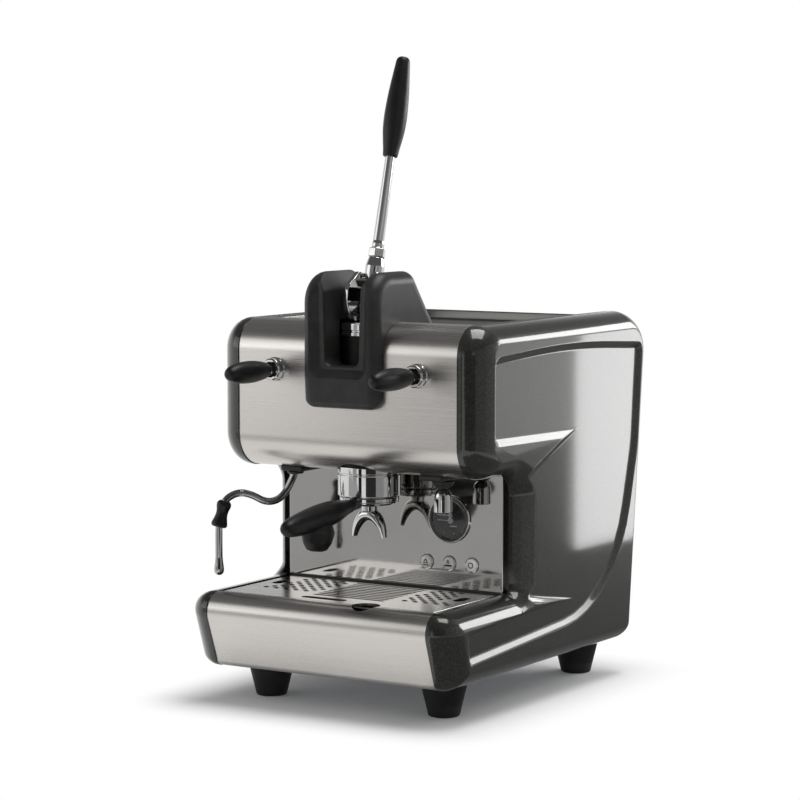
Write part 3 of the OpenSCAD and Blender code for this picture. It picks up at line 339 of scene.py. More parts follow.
black_rubber = rubber("black_rubber", (0.007, 0.007, 0.007))
foot_points = [(0, 0), (13, 0), (16.5, 0, 2.5), (24.5, 33, 6), (24.5, 41.2, 1), (0, 41.2)]
feet = joined(*[moved(turned(foot_points), (x, y, 0)) for x in (-110, 110) for y in (-113, 179)])
add_piece("feet_moulded", feet, black_rubber, "machine", "rubber", "feet")

# Side panels: pressed panels with a thick rolled edge, painted gunmetal with fine flake under clear
# lacquer. A shallow recess with soft walls runs from the head's arm round the column to the base's.
least_radius = 0.6


def inset_corners(corners, distance):
    """Outline drawn in by a distance, with its radii to match. A corner of radius 0 gets the least radius."""
    count = len(corners)
    result = []
    for i, corner in enumerate(corners):
        a, b, c = (Vector(corners[j][:2]) for j in (i - 1, i, (i + 1) % count))
        into, out = (b - a).normalized(), (c - b).normalized()
        first, second = Vector((-into.y, into.x)), Vector((-out.y, out.x))
        place = b + distance * (first + second) / (1 + first.dot(second))
        convex = into.x * out.y - into.y * out.x > 0
        radius = corner[2] - distance if convex else corner[2] + distance
        result.append((place.x, place.y, max(least_radius, radius) if corner[2] else least_radius))
    return result


def stacked(loops):
    """Closed shape through loops of points that have the same count."""
    shape = bmesh.new()
    rings = []
    for loop in loops:
        verts = [shape.verts.new(point) for point in loop]
        rings.append([shape.edges.new(pair) for pair in zip(verts, verts[1:] + verts[:1])])
    for lower, upper in zip(rings, rings[1:]):
        bmesh.ops.bridge_loops(shape, edges=lower + upper)
    for ring in (rings[0], rings[-1]):
        bmesh.ops.contextual_create(shape, geom=ring)
    bmesh.ops.recalc_face_normals(shape, faces=shape.faces)
    return shape


def carved(shape, *cutters):
    """The shape with other shapes cut out of it."""
    holder = []
    for part in (shape, *cutters):
        mesh = bpy.data.meshes.new("carving")
        part.to_mesh(mesh)
        part.free()
        thing = bpy.data.objects.new("carving", mesh)
        bpy.context.scene.collection.objects.link(thing)
        holder.append(thing)
    for cutter in holder[1:]:
        cut = holder[0].modifiers.new("cut", "BOOLEAN")
        cut.operation = "DIFFERENCE"
        cut.solver = "EXACT"
        cut.object = cutter
    result = bmesh.new()
    result.from_mesh(holder[0].evaluated_get(bpy.context.evaluated_depsgraph_get()).to_mesh())
    for thing in holder:
        data = thing.data
        bpy.data.objects.remove(thing)
        bpy.data.meshes.remove(data)
    return result


def block(low, high):
    """Plain box between two corners."""
    shape = bmesh.new()
    bmesh.ops.create_cube(shape, size=1.0)
    low, high = Vector(low), Vector(high)
    shape.transform(Matrix.Translation((low + high) / 2) @ Matrix.Diagonal((*(high - low), 1)))
    return shape


def flake_paint(name, base, flake):
    material, shader, place = new_finish(name, {"Metallic": 0.25, "Specular IOR Level": 0.2, "Coat Weight": 1.0,
                                                "Coat Roughness": 0.06, "Coat IOR": 1.5})
    grains = place.make("ShaderNodeTexVoronoi", {"Vector": place, "Scale": 1000.0}, out="Color")
    tone = place.make("ShaderNodeSeparateColor", {"Color": grains})
    cloud = place.noise(9.0, 4.0)
    (tone.ramp(0.55, 1.0) * (cloud * 0.5 + 0.55)).blend(base, flake).into(shader, "Base Color")
    (tone * 0.16 + 0.3).into(shader, "Roughness")
    return material


gunmetal = flake_paint("gunmetal_flake", (0.0215, 0.022, 0.0182), (0.048, 0.049, 0.042))
side_corners = [(-134.5, 250, 38), (-37, 250, 25), (-37, 120.5, 12), (-205.1, 120.5, 21),
                (-176.5, 38, 14), (214, 38, 22), (252, 412, 45), (-134.5, 412, 34)]
edge_depth, edge_height, edge_steps, edge_power = 27, 20, 12, 1.2
outer_face, inner_face = 168, 137.5
base_arm_top, head_arm_low = 120.5, 250
full_from, full_to = 132.5, 225
column_draw, end_draw, end_length = 34, 9, 22


def drawn_back(point, inset, share):
    """Moves the front edges back as they are rounded off, the column's further than the two ends'."""
    if -70 < point.x < 0:
        low, high = base_arm_top - inset, head_arm_low + inset
        weight = max(0.0, min(1.0, (point.y - low) / (full_from - low), (high - point.y) / (high - full_to)))
        return point + Vector((column_draw * share * weight * weight * (3 - 2 * weight), 0))
    start = -85 if point.y > 200 else -150
    return point + Vector((end_draw * share * max(0.0, min(1.0, (start - point.x) / end_length)), 0))


side_loops = [[(inner_face, *p) for p in eased(side_corners, 10)]]
for i in range(edge_steps + 1):
    angle = i * pi / (2 * edge_steps)
    round_off, rise = 1 - cos(angle) ** edge_power, sin(angle) ** edge_power
    inset = edge_height * round_off
    side_loops.append([(outer_face - edge_depth * (1 - rise), *drawn_back(p, inset, round_off))
                       for p in eased(inset_corners(side_corners, inset), 10)])
recess_corners = [(-108.5, 285, 13), (35, 282, 0), (-34, 254, 10), (-72, 247, 6), (-72, 119, 6), (-15, 109, 0),
                  (-163, 102, 5), (-158, 63, 7), (168, 82, 165), (218, 262, 150), (228, 378, 12), (60, 388.5, 1600),
                  (-108.5, 380, 14)]
recess_wall = [(-1.4, 5), (-1.4, 0.3), (0, 0), (1.5, -0.4), (3.4, -1.4), (5.4, -2.9), (7.2, -4.3), (9, -5),
               (10.5, -5.2)]
recess_loops = [[(outer_face + depth, *p) for p in eased(inset_corners(recess_corners, inset), 8)]
                for inset, depth in recess_wall]
splash_notch = ((137, -60, 122), (144.5, -30, 249))


def add_side_panel(name, side, node):
    shape = carved(stacked(side_loops), stacked(recess_loops), block(*splash_notch))
    if side < 0:
        shape.transform(Matrix.Scale(-1, 4, (1, 0, 0)))
        bmesh.ops.reverse_faces(shape, faces=shape.faces)
    add_piece(name, shape, gunmetal, "machine", "panel_paint", node, crease=50.0)


add_side_panel("side_panel_right_pressed", 1, "side_panel_right")
add_side_panel("side_panel_left_pressed", -1, "side_panel_left")

# Steel fronts of the base and of the head: stainless sheet, ground along its length and bent to
# large radii. The head's has a window under the lever cover and two holes for the taps.


def brushed(name, colour, roughness, streak, coarse=1.0):
    material, shader, place = new_finish(name, {"Metallic": 1.0})
    fine = place.noise(1.0, 3.0, tuple(coarse * s for s in streak))
    broad = place.noise(7.0, 2.0)
    (fine * 0.7 + broad * 0.3).ramp(0.3, 0.7).blend(shaded(colour, 0.93), colour).into(shader, "Base Color")
    (fine * 0.16 + broad * 0.06 + (roughness - 0.11)).into(shader, "Roughness")
    fine.bump(0.03, 0.0002).into(shader, "Normal")
    return material


def formed_sheet(path, half_width, thickness):
    """Sheet whose outer face follows a (y, z) path, with its thickness to the left of the path."""
    shape = bmesh.new()
    line = [shape.verts.new((-half_width, p.x, p.y)) for p in eased(path, steps=14)]
    edges = [shape.edges.new(pair) for pair in zip(line, line[1:])]
    grown = bmesh.ops.extrude_edge_only(shape, edges=edges)["geom"]
    bmesh.ops.translate(shape, vec=(2 * half_width, 0, 0),
                        verts=[v for v in grown if isinstance(v, bmesh.types.BMVert)])
    bmesh.ops.solidify(shape, geom=shape.faces[:], thickness=thickness)
    bmesh.ops.recalc_face_normals(shape, faces=shape.faces)
    return shape


def rod(radius, start, end, sides=48):
    """Plain round bar between two points."""
    a, b = Vector(start), Vector(end)
    shape = bmesh.new()
    bmesh.ops.create_cone(shape, cap_ends=True, segments=sides, radius1=radius, radius2=radius,
                          depth=(b - a).length)
    shape.transform(Matrix.Translation((a + b) / 2) @ (b - a).to_track_quat("Z", "Y").to_matrix().to_4x4())
    return shape


front_steel = brushed("ground_stainless", (0.62, 0.595, 0.57), 0.29, (4, 1500, 1500))
sheet, sheet_half = 1.2, 137.4
notch_radius, notch_x = 15, 50
base_path = [(-171.6, 112.5), (-171.6, 119, 1.5), (-202.6, 119, 20), (-174, 40, 8), (-160, 40)]
base_front = carved(formed_sheet(base_path, sheet_half, sheet),
                    rod(notch_radius, (notch_x, -171.6, 112), (notch_x, -171.6, 128)))
add_piece("base_front_formed", base_front, front_steel, "machine", "brushed_steel", "base_front_panel")
head_path = [(-92, 410.5), (-132, 410.5, 32), (-132, 252, 36), (-94, 252)]
group_y, group_hole = -86, 35
tap_places, tap_z = (-89.5, 89.5), 359
head_front = carved(formed_sheet(head_path, sheet_half, sheet), block((-40, -140, 335), (40, -80, 420)),
                    rod(group_hole, (0, group_y, 240), (0, group_y, 275)),
                    *[rod(9.5, (x, -140, tap_z), (x, -120, tap_z)) for x in tap_places])
add_piece("head_front_formed", head_front, front_steel, "machine", "brushed_steel", "head_front_panel")

# Underside of the head: a black moulding pushed up between the side panels, with a hole for the group
# and a thick pad round the steam wand and round the hot water outlet.


def moulded(name, colour, roughness, grain=1400.0, relief=0.12):
    material, shader, place = new_finish(name, {"Specular IOR Level": 0.3})
    mottle = place.noise(60.0, 4.0)
    mottle.ramp(0.3, 0.75).blend(colour, shaded(colour, 1.5)).into(shader, "Base Color")
    (mottle * 0.14 + (roughness - 0.07)).into(shader, "Roughness")
    place.noise(grain, 2.0).bump(relief, 0.0002).into(shader, "Normal")
    return material


def bevelled(shape, width, segments=3, angle=30.0):
    """Rounds the edges of a shape that turn by more than an angle."""
    sharp = [e for e in shape.edges if len(e.link_faces) == 2 and e.calc_face_angle() > radians(angle)]
    bmesh.ops.bevel(shape, geom=sharp, offset=width, affect="EDGES", segments=segments, profile=0.5,
                    material=-1, clamp_overlap=True)
    return shape


satin_black = moulded("satin_black_moulding", (0.022, 0.0222, 0.0214), 0.42)
under_pads = [bevelled(block((low, -105, 245.6), (low + 28, -37.4, 251.8)), 2.2) for low in (-103, 73.5)]
wand_x, wand_y = -89.5, -95
underside = carved(joined(block((-137.2, -94, 252), (137.2, -37.2, 254)), *under_pads),
                   rod(group_hole, (0, group_y, 240), (0, group_y, 262)),
                   rod(7.2, (wand_x, wand_y, 240), (wand_x, wand_y, 262)))
add_piece("head_underside_moulded", underside, satin_black, "machine", "black_moulding", "head_underside")

# Backsplash: stainless sheet polished to a mirror, with its side edges and rounded upper corners folded
# back. Holes take the indicator and the three buttons, and a black seal lies along its foot.


def polished(name, colour, roughness):
    material, shader, place = new_finish(name, {"Metallic": 1.0})
    haze = place.noise(14.0, 4.0)
    wipe = place.noise(1.0, 3.0, (30, 400, 400))
    haze.ramp(0.3, 0.7).blend(shaded(colour, 0.93), colour).into(shader, "Base Color")
    (haze * 0.04 + wipe * 0.03 + (roughness - 0.035)).into(shader, "Roughness")
    return material


def front_loops(outline, places):
    """Loops along an outline in front view, each drawn in by an inset and set at a depth y."""
    return [[(p.x, y, p.y) for p in eased(inset_corners(outline, inset))] for inset, y in places]


mirror_steel = polished("mirror_stainless", (0.56, 0.545, 0.53), 0.06)
splash_face = -37
splash_corners = [(-137.3, 104, 2), (137.3, 104, 2), (137.3, 251.5, 7), (-137.3, 251.5, 7)]
splash_edge = [(0, -30), (0, -36.2), (0.12, -36.6), (0.4, -36.88), (0.8, splash_face)]
dial_x, dial_z = 71.5, 197
button_places, button_z = (42.5, 70.8, 99.1), 149
splash = carved(stacked(front_loops(splash_corners, splash_edge)),
                rod(23.2, (dial_x, -45, dial_z), (dial_x, -20, dial_z)),
                *[rod(7.35, (x, -45, button_z), (x, -20, button_z)) for x in button_places])
add_piece("backsplash_polished", splash, mirror_steel, "machine", "polished_steel", "backsplash")
splash_seal = bevelled(block((-137, -39.2, 117.8), (137, -37.1, 122.2)), 0.5)
add_piece("splash_seal_moulded", splash_seal, satin_black, "machine", "black_moulding")

# Cup tray: a sunken tray pressed in stainless sheet, with soft corners and a rim that lies on the
# frames and slopes down at the back. Its front is cut away for the group under the lever cover.
tray_rings = [(133.2, -91.8, 229, 2, 393), (133.2, -91.8, 229, 2, 409.2), (137.2, -91.9, 232.8, 2, 409.2),
              (137.2, -91.9, 232.8, 2, 410.1), (136.8, -91.5, 232.4, 1.6, 410.5), (130, -84, 224, 15, 410.5),
              (128.8, -82.8, 222.8, 13.8, 410.1), (128, -82, 222, 13, 409), (127.7, -81.7, 221.7, 12.7, 398.6),
              (126.7, -80.7, 220.7, 11.7, 395.8), (123.8, -77.8, 217.8, 8.8, 394.2)]
tray_loops = []
for half, front, back, radius, height in tray_rings:
    corners = [(-half, front, radius), (half, front, radius), (half, back, radius), (-half, back, radius)]
    tray_loops.append([(p.x, p.y, height) for p in eased(corners, 8)])
tray = carved(stacked(tray_loops), block((-40.4, -95, 380), (40.4, -29, 420)))
slope_start, slope_length, slope_drop = 195, 38, 7
bmesh.ops.bisect_plane(tray, geom=tray.verts[:] + tray.edges[:] + tray.faces[:],
                       plane_co=(0, slope_start, 0), plane_no=(0, 1, 0))
for vert in tray.verts:
    if vert.co.y > slope_start and vert.co.z > 400:
        vert.co.z -= slope_drop * (vert.co.y - slope_start) / slope_length
tray_steel = brushed("tray_stainless", (0.2, 0.198, 0.19), 0.34, (5, 500, 500), 0.8)
add_piece("cup_tray_pressed", tray, tray_steel, "machine", "satin_steel", "cup_tray")

# Rear panel: a steel sheet with rows of cooling slots, powder coated in dark grey and held by eight
# button-head screws. It leans with the side panels' back edge.


def powder_coat(name, colour):
    material, shader, place = new_finish(name, {"Specular IOR Level": 0.4})
    pebble = place.noise(420.0, 2.0)
    pebble.ramp(0.3, 0.7).blend(shaded(colour, 0.8), colour).into(shader, "Base Color")
    (pebble * 0.2 + 0.45).into(shader, "Roughness")
    pebble.bump(0.25, 0.0004).into(shader, "Normal")
    return material


rear_coat = powder_coat("rear_powder_coat", (0.075, 0.077, 0.073))
rear = bmesh.new()
rear.from_mesh(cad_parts["rear_panel"].data)
rear.transform(Matrix.Scale(1000, 4))
bmesh.ops.remove_doubles(rear, verts=rear.verts, dist=0.01)
rear_top, rear_sheet = 402.5, 0.0012
rear = carved(rear, block((-200, 180, rear_top), (200, 300, 430)))
add_piece("rear_panel_coated", rear, rear_coat, "machine", "rear_paint", "rear_panel")
rear_low, rear_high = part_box("rear_panel")
rear_slope = (rear_high[1] - rear_low[1] - rear_sheet) / (rear_high[2] - rear_low[2])
rear_lean = degrees(atan2(rear_slope, 1.0))


def rear_screw(x, z):
    head = turned([(0, -1.0), (4.2, -1.0), (4.2, 0.4, 0.3), (2.6, 2.4, 1.2), (0, 2.6)], 32)
    head = carved(head, rod(1.7, (0, 0, 1.2), (0, 0, 4), 6))
    y = 1000 * (rear_low[1] + rear_sheet) + rear_slope * (z - 1000 * rear_low[2])
    return moved(head, (x, y, z), -90 - rear_lean)


blackened_steel = plated_steel("blackened_screws", (0.16, 0.16, 0.165), 0.4)
rear_screws = joined(*[rear_screw(x, z) for x in (-124, 124) for z in (58, 170, 285, 394)])
add_piece("rear_panel_screws", rear_screws, blackened_steel, "machine", "frame_steel")

# Drip basin and its grid: a folded stainless basin with a drain, and a lift-off plate with two fields of
# slanting slots, fine ribs under the group, three long holes and a half-round notch at its front edge.


def oblong(length, width, place, turn, depth=8.0):
    """Upright bar with round ends that reaches a depth above and below its place."""
    half = (length - width) / 2
    points = []
    for end, first in ((half, -90), (-half, 90)):
        points += [(end + width / 2 * cos(radians(first + 22.5 * i)), width / 2 * sin(radians(first + 22.5 * i)))
                   for i in range(9)]
    shape = stacked([[(x, y, -depth) for x, y in points], [(x, y, depth) for x, y in points]])
    return moved(shape, place, turn, "Z")


# The basin's steel is darkened to paint in the shade it lies in under the grid: painted shade.
dress(brushed("basin_painted_shade", (0.2, 0.195, 0.185), 0.4, (5, 400, 400), 0.8), "drip_basin")
grid_steel = brushed("grid_stainless", (0.58, 0.57, 0.55), 0.22, (5, 600, 600), 0.8)
grid_top, grid_front, under_grid, over_grid = 120, -171.3, 110, 128
grid_plate = bevelled(block((-132.5, grid_front, 117), (132.5, -39.4, grid_top)), 0.7)
grid_cuts = [rod(notch_radius, (notch_x, grid_front, under_grid), (notch_x, grid_front, over_grid)),
             oblong(56, 11, (-12, -156.8, grid_top), 0)]
grid_cuts += [oblong(26, 12, (x, -87, grid_top), 90) for x in (-115, 116)]
row_pitch, step_aside, step_forward, rib_pitch = 13, 8.0, 9.0, 9.4
for left, right in ((-120, -41), (57, 124)):
    for row in range(13):
        for step in range(9):
            x, y = left - 66 + row_pitch * row + step_aside * step, -52 - step_forward * step
            if left + 3 < x < right - 3 and y > -146 and (abs(x) < 103 or y < -110):
                grid_cuts.append(oblong(9.2, 5.6, (x, y, grid_top), -48))
grid_cuts += [block((-37, -141 + rib_pitch * i, under_grid), (51, -135.2 + rib_pitch * i, over_grid))
              for i in range(11)]
add_piece("drip_grid_punched", carved(grid_plate, joined(*grid_cuts)), grid_steel, "grid", "brushed_steel",
          "drip_grid")

# Cover over the lever's mechanism: one black moulding with two rounded lobes and a flared, stepped slot
# between them, in which the lever swings. It is clipped over the window in the head.
cover_corners = [(-147, 321, 9), (-122, 321, 4), (-23, 394.3, 1), (-23, 407, 8), (-68, 464.8, 16), (-149, 464.8, 33),
                 (-149.5, 357, 60)]
cover_half, lobe_round, lobe_steps = 47.5, 14, 10
cover_loops = []
for i in range(2 * lobe_steps + 1):
    side, step = (-1, i) if i <= lobe_steps else (1, 2 * lobe_steps - i)
    angle = step * pi / (2 * lobe_steps)
    inset = lobe_round * (1 - sin(angle))
    cover_loops.append([(side * (cover_half - lobe_round * (1 - cos(angle))), *p)
                        for p in eased(inset_corners(cover_corners, inset), 8)])


def slot_outline(half, low, corner, flare):
    """Front view of a slot that is open at the top, where it widens to the lobes' rounded tops."""
    neck, wide, (neck_z, shoulder_z, open_z) = half + 2.5, half + flare, (446, 467, 520)
    return [(-half, low, corner), (half, low, corner), (neck, neck_z, 14), (wide, shoulder_z, 5), (wide, open_z, 1),
            (-wide, open_z, 1), (-wide, shoulder_z, 5), (-neck, neck_z, 14)]


step_edge = [(-2.6, -170), (-2.2, -152), (-0.8, -149.2), (0.6, -147.8), (7.6, -141.6), (8.6, -141), (9.8, -140.8)]
slot_edge = [(-1.3, -170), (-1.3, -141.2), (-0.4, -139.6), (0, -138), (0, -58)]
cover = carved(stacked(cover_loops), stacked(front_loops(slot_outline(35, 354, 12, 6), step_edge)),
               stacked(front_loops(slot_outline(20.5, 366, 8, 12), slot_edge)),
               rod(33, (0, group_y, 300), (0, group_y, 413.5)))
add_piece("lever_cover_moulded", cover, satin_black, "machine", "black_moulding", "lever_cover", crease=40.0)

# Group: a blackened brass cylinder over the chromed bayonet skirt that holds the filter holder. Its cap
# is screwed on top, and the seal and the shower screen sit inside the skirt.


def plated(name, colour, roughness):
    material, shader, place = new_finish(name, {"Metallic": 1.0})
    haze = place.noise(35.0, 4.0)
    haze.ramp(0.35, 0.7).blend(shaded(colour, 0.92), colour).into(shader, "Base Color")
    (haze * 0.05 + (roughness - 0.02)).into(shader, "Roughness")
    return material


chrome = plated("bright_chrome", (0.62, 0.62, 0.615), 0.055)
group_place = (0, group_y, 0)
group_profile = [(31, 240), (31, 224, 0.8), (34, 224, 1.3), (34, 246.6, 0.6), (33, 247.4, 0.3), (33, 248.6, 0.3),
                 (34, 249.4, 0.6), (34, 256, 1), (30, 256.2), (8.2, 256.2), (8.2, 246.1), (31, 246.1), (31, 240)]
cylinder_profile = [(26.1, 256.2), (32, 256.4), (32, 396.6), (26.1, 396.6), (26.1, 256.2)]
group_ledge = [(29, 224.5), (31.2, 224.5), (31.2, 229), (29, 229), (29, 224.5)]
group = joined(turned(group_profile, 96), turned(group_ledge, 96))
add_piece("group_body_chromed", moved(group, group_place), chrome, "machine", "chrome", "group_body")
cylinder = joined(turned(cylinder_profile, 96), bevelled(block((-26, 30, 287), (26, 36, 357)), 2))
blackened_brass = plated_steel("blackened_brass", (0.025, 0.023, 0.022), 0.5)
add_piece("group_cylinder_blackened", moved(cylinder, group_place), blackened_brass, "machine", "frame_steel")
cap_profile = [(7.06, 396.8), (32, 396.8), (32, 400, 0.6), (31, 400.8, 0.4), (31, 402, 0.4), (32, 402.8, 0.6),
               (32, 410.7, 2), (7.06, 410.7), (7.06, 396.8)]
add_piece("group_cap_chromed", moved(turned(cap_profile, 96), group_place), chrome, "machine", "chrome", "group_cap")
dress(black_rubber, "group_gasket", "piston_seals")
satin_steel = brushed("satin_stainless", (0.4, 0.395, 0.38), 0.34, (5, 500, 500), 0.8)
dress(satin_steel, "shower_screen")

# Piston, its rod and the main spring: turned brass, a chromed rod with an eye, and spring steel wire.
# The lever lifts the piston against the spring.


def turned_metal(name, colour, roughness):
    material, shader, place = new_finish(name, {"Metallic": 1.0})
    lines = place.noise(1.0, 2.0, (60, 60, 1800))
    stain = place.noise(25.0, 4.0)
    stain.ramp(0.3, 0.75).blend(colour, shaded(colour, 0.72)).into(shader, "Base Color")
    (stain * 0.16 + lines * 0.1 + (roughness - 0.12)).into(shader, "Roughness")
    return material


def piped(path, radius, sides=24):
    """Round bar along a line in space."""
    points = [Vector(p) for p in path]
    across = Vector((1, 0, 0))
    loops = []
    for i, point in enumerate(points):
        along = (points[min(i + 1, len(points) - 1)] - points[max(i - 1, 0)]).normalized()
        across = (across - along * across.dot(along)).normalized()
        third = along.cross(across)
        loops.append([point + radius * (cos(turn) * across + sin(turn) * third)
                      for turn in (2 * pi * k / sides for k in range(sides))])
    return stacked(loops)


brass = turned_metal("turned_brass", (0.62, 0.43, 0.16), 0.32)
spring_steel = turned_metal("oiled_spring_steel", (0.24, 0.24, 0.25), 0.35)
dress(brass, "piston")
dress(chrome, "piston_rod", "lever_pin")
spring_box = [1000 * Vector(corner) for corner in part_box("main_spring")]
wire, stroke = 2.4, 24.1
coil_low, coil_high = spring_box[0].z + wire, spring_box[1].z - wire
coil_radius = spring_box[1].x - wire
coil_turns, half_turn_steps = 8, 12
coil_steps = 2 * half_turn_steps * coil_turns
coil = []
for i in range(coil_steps + 1):
    turn = pi * i / half_turn_steps
    coil.append((coil_radius * cos(turn), coil_radius * sin(turn) + group_y,
                 coil_low + (coil_high - coil_low) * i / coil_steps))
spring = add_piece("main_spring_wound", piped(coil, wire, 16), spring_steel, "machine", "frame_steel", "main_spring")
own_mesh(spring)

# Lever: a chromed steel fork with two cams and a bullet-shaped socket, a lock nut, a tapered rod and a
# black grip. It turns on a pin through the piston rod's eye.
lever_pivot, lever_lean = (0, group_y, 424), -14.5
cam_low, cam_rise = 13, 0.192


def cam_point(pull):
    """Point of a cam's edge that lies lowest when the lever is pulled by an angle in degrees."""
    reach = cam_low + cam_rise * pull
    drift = cam_rise * 180 / pi
    turn = radians(pull)
    return (group_y - reach * sin(turn) - drift * cos(turn),
            lever_pivot[2] - reach * cos(turn) + drift * sin(turn))


def on_lever(shape):
    return moved(shape, lever_pivot, lever_lean)


cam_outline = [cam_point(7.5 * i) for i in range(17)][::-1]
cam_outline = [(-83, 411.4), (-75, 418), (-73, 430), (-69, 458), (-92, 464)] + cam_outline
cheeks = [bevelled(stacked([[(x, *p) for p in cam_outline] for x in pair]), 0.9, 2) for pair in ((-14, -8), (8, 14))]
socket_profile = [(0, 30), (9.6, 30), (10.4, 34, 2), (10.4, 46, 6), (8.2, 55, 1.5), (7.2, 56), (0, 56)]
fork_parts = [on_lever(bevelled(block((-14, -9, 20), (14, 9, 33)), 2)), on_lever(turned(socket_profile, 72))]
add_piece("lever_fork_chromed", joined(*cheeks, *fork_parts), chrome, "lever", "chrome", "lever_fork")
nut = bmesh.new()
bmesh.ops.create_cone(nut, cap_ends=True, segments=6, radius1=9.4, radius2=9.4, depth=9.6)
nut = on_lever(moved(bevelled(nut, 0.9, 3), (0, 0, 61), 20, "Z"))
add_piece("lever_lock_nut", nut, chrome, "lever", "chrome", "lever_collar")
rod_profile = [(0, 41), (5.9, 41), (5.9, 66.2), (6.6, 67, 0.4), (6.6, 71, 1), (6.1, 74, 1), (5.1, 165),
               (5.1, 180), (0, 180)]
add_piece("lever_rod_chromed", on_lever(turned(rod_profile, 64)), chrome, "lever", "chrome", "lever_rod")


def threaded(points, steps=6):
    """Smooth line through points."""
    places = [Vector(p) for p in points]
    line = []
    for i in range(len(places) - 1):
        a, b, c, d = (places[max(0, min(j, len(places) - 1))] for j in (i - 1, i, i + 1, i + 2))
        for t in (s / steps for s in range(steps)):
            line.append(b + (c - a) * (t / 2) + (a - 2.5 * b + 2 * c - d / 2) * t ** 2
                        + (b * 1.5 - a / 2 - c * 1.5 + d / 2) * t ** 3)
    return line + [places[-1]]


grip_black = moulded("grip_black", (0.0065, 0.0065, 0.0063), 0.4, 900.0, 0.2)
grip_profile = [(0, 167), (7, 167), (7.8, 167.5)] + threaded(
    [(8.2, 168.6), (9, 176), (10.6, 186), (12, 197), (12.5, 209), (12.2, 222), (11, 240), (9.2, 258), (8.1, 268),
     (7.6, 272.5), (6.4, 275.8), (4, 277.6), (0, 278)])
add_piece("lever_grip_moulded", on_lever(turned(grip_profile, 72)), grip_black, "lever", "black_grip", "lever_grip",
          crease=55.0)

# Filter holder: a chromed brass cup that hangs in the group by two lugs, with a steel basket, a double
# spout and a black handle with the short foot on which it stands level on a worktop.
holder_profile = [(5, 214.8), (22, 214.8, 2), (27.5, 214.8, 2), (31.4, 217, 1), (31.4, 217.2, 0.3), (31.2, 217.6, 0.2),
                  (31.2, 218.2, 0.2), (32, 218.8, 0.6), (32, 222.9, 1), (28.4, 223.1), (28.4, 236), (26.6, 236),
                  (26.6, 216.2), (5, 216.2), (5, 214.8)]
holder_lugs = [bevelled(block((x - 1.8, -8.5, 229.4), (x + 1.8, 8.5, 235.8)), 0.8) for x in (-28.8, 28.8)]
handle_z, handle_tilt = 220, 95.5
neck_profile = [(0, 24), (6.5, 24), (6.5, 35.4, 0.6), (5.4, 36, 0.3), (5.4, 37, 0.3), (6.8, 37.6, 0.6), (6.8, 38.1),
                (0, 38.1)]
handle_neck = moved(turned(neck_profile, 48), (0, 0, handle_z), handle_tilt)
holder = joined(turned(holder_profile, 96), *holder_lugs)
add_piece("portafilter_cup_chromed", moved(holder, group_place), chrome, "portafilter", "chrome", "portafilter_body")
basket_profile = [(0, 216.6), (23, 216.6, 2), (26.2, 235.6), (25.5, 235.6), (22.4, 217.3, 1.6), (0, 217.3)]
add_piece("filter_basket_pressed", moved(turned(basket_profile, 72), group_place), satin_steel, "portafilter",
          "satin_steel", "filter_basket")
add_piece("portafilter_neck_blackened", moved(handle_neck, group_place), blackened_steel, "portafilter", "chrome")

arch_half, arch_rise, arch_z, arch_sides = 19.5, 33, 170, 24
spout_loops = []
for i in range(arch_sides + 1):
    angle = radians(-75 + 6.25 * i)
    swell = cos(1.15 * angle)
    thick, wide = 2 + 5 * swell, 4.2 + 3.6 * swell
    out = Vector((arch_rise * sin(angle), 0, arch_half * cos(angle))).normalized()
    middle = Vector((arch_half * sin(angle), group_y, arch_z + arch_rise * cos(angle)))
    spout_loops.append([middle + out * thick * cos(turn) + Vector((0, wide * sin(turn), 0))
                        for turn in (2 * pi * k / arch_sides for k in range(arch_sides))])
spout_stem = turned([(0, 207), (8.6, 207), (8.6, 212, 0.8), (7, 213, 0.6), (7, 214.7), (0, 214.7)], 48)
spout = joined(stacked(spout_loops), moved(spout_stem, group_place))
add_piece("portafilter_spout_chromed", spout, chrome, "portafilter", "chrome", "portafilter_spout", crease=50.0)

handle_profile = [(0, 38.3), (6.2, 38.3), (7, 39.2)] + threaded(
    [(7.4, 40.6), (8.1, 48), (9.8, 57), (11.8, 68), (13, 80), (13.5, 96), (13.2, 112), (12.2, 130), (10.6, 146),
     (8.8, 156), (6.4, 161.6), (3.4, 164.3), (0, 165)])
handle_foot = turned([(0, 0), (5, 0), (9.6, 1.8, 4), (13.6, 9, 8), (16, 20, 6), (12.5, 31, 4), (0, 33)], 64)
handle_foot.transform(Matrix.Diagonal((0.84, 1.6, 1, 1)))
handle = joined(moved(turned(handle_profile, 72), (0, group_y, handle_z), handle_tilt),
                moved(handle_foot, (0, -189, 175), -8))
add_piece("portafilter_handle_moulded", handle, grip_black, "portafilter", "black_grip", "portafilter_handle",
          crease=55.0)

# Taps: two black levers on chromed spindles with rubber boots, which tilt up and down in collars on the
# head's front. Brass valves behind the steel close the steam and the hot water.
tap_y = -138


def at_tap(shape, x):
    return moved(shape, (x, tap_y, tap_z), 90)


collar_profile = [(8.5, -6), (13, -6), (13, -3.6, 0.8), (12, -2.4, 0.6), (12, 4.2, 1.4), (10.4, 6, 0.8), (8.5, 6),
                  (8.5, -6)]
collars = joined(*[at_tap(turned(collar_profile, 64), x) for x in tap_places])
add_piece("tap_collars_chromed", collars, chrome, "machine", "chrome", "tap_collars")
spindle_profile = [(0, -8), (4.5, -8), (4.5, 8.4, 0.8), (6.2, 9.6, 0.6), (6.2, 12.4, 0.6), (0, 13)]
tap_profile = [(0, 13.1), (6.6, 13.1)] + threaded(
    [(7.8, 13.8), (9, 18), (10.4, 26), (11.5, 36), (11.8, 47), (11.4, 58), (10.1, 69), (7.8, 77.6),
     (4.6, 82.6), (0, 84)])
boot_profile = [(0, -7), (4.5, -6.6), (7.2, -3.8), (8.1, 0), (7.2, 3.8), (4.8, 6.4), (0, 6.8)]
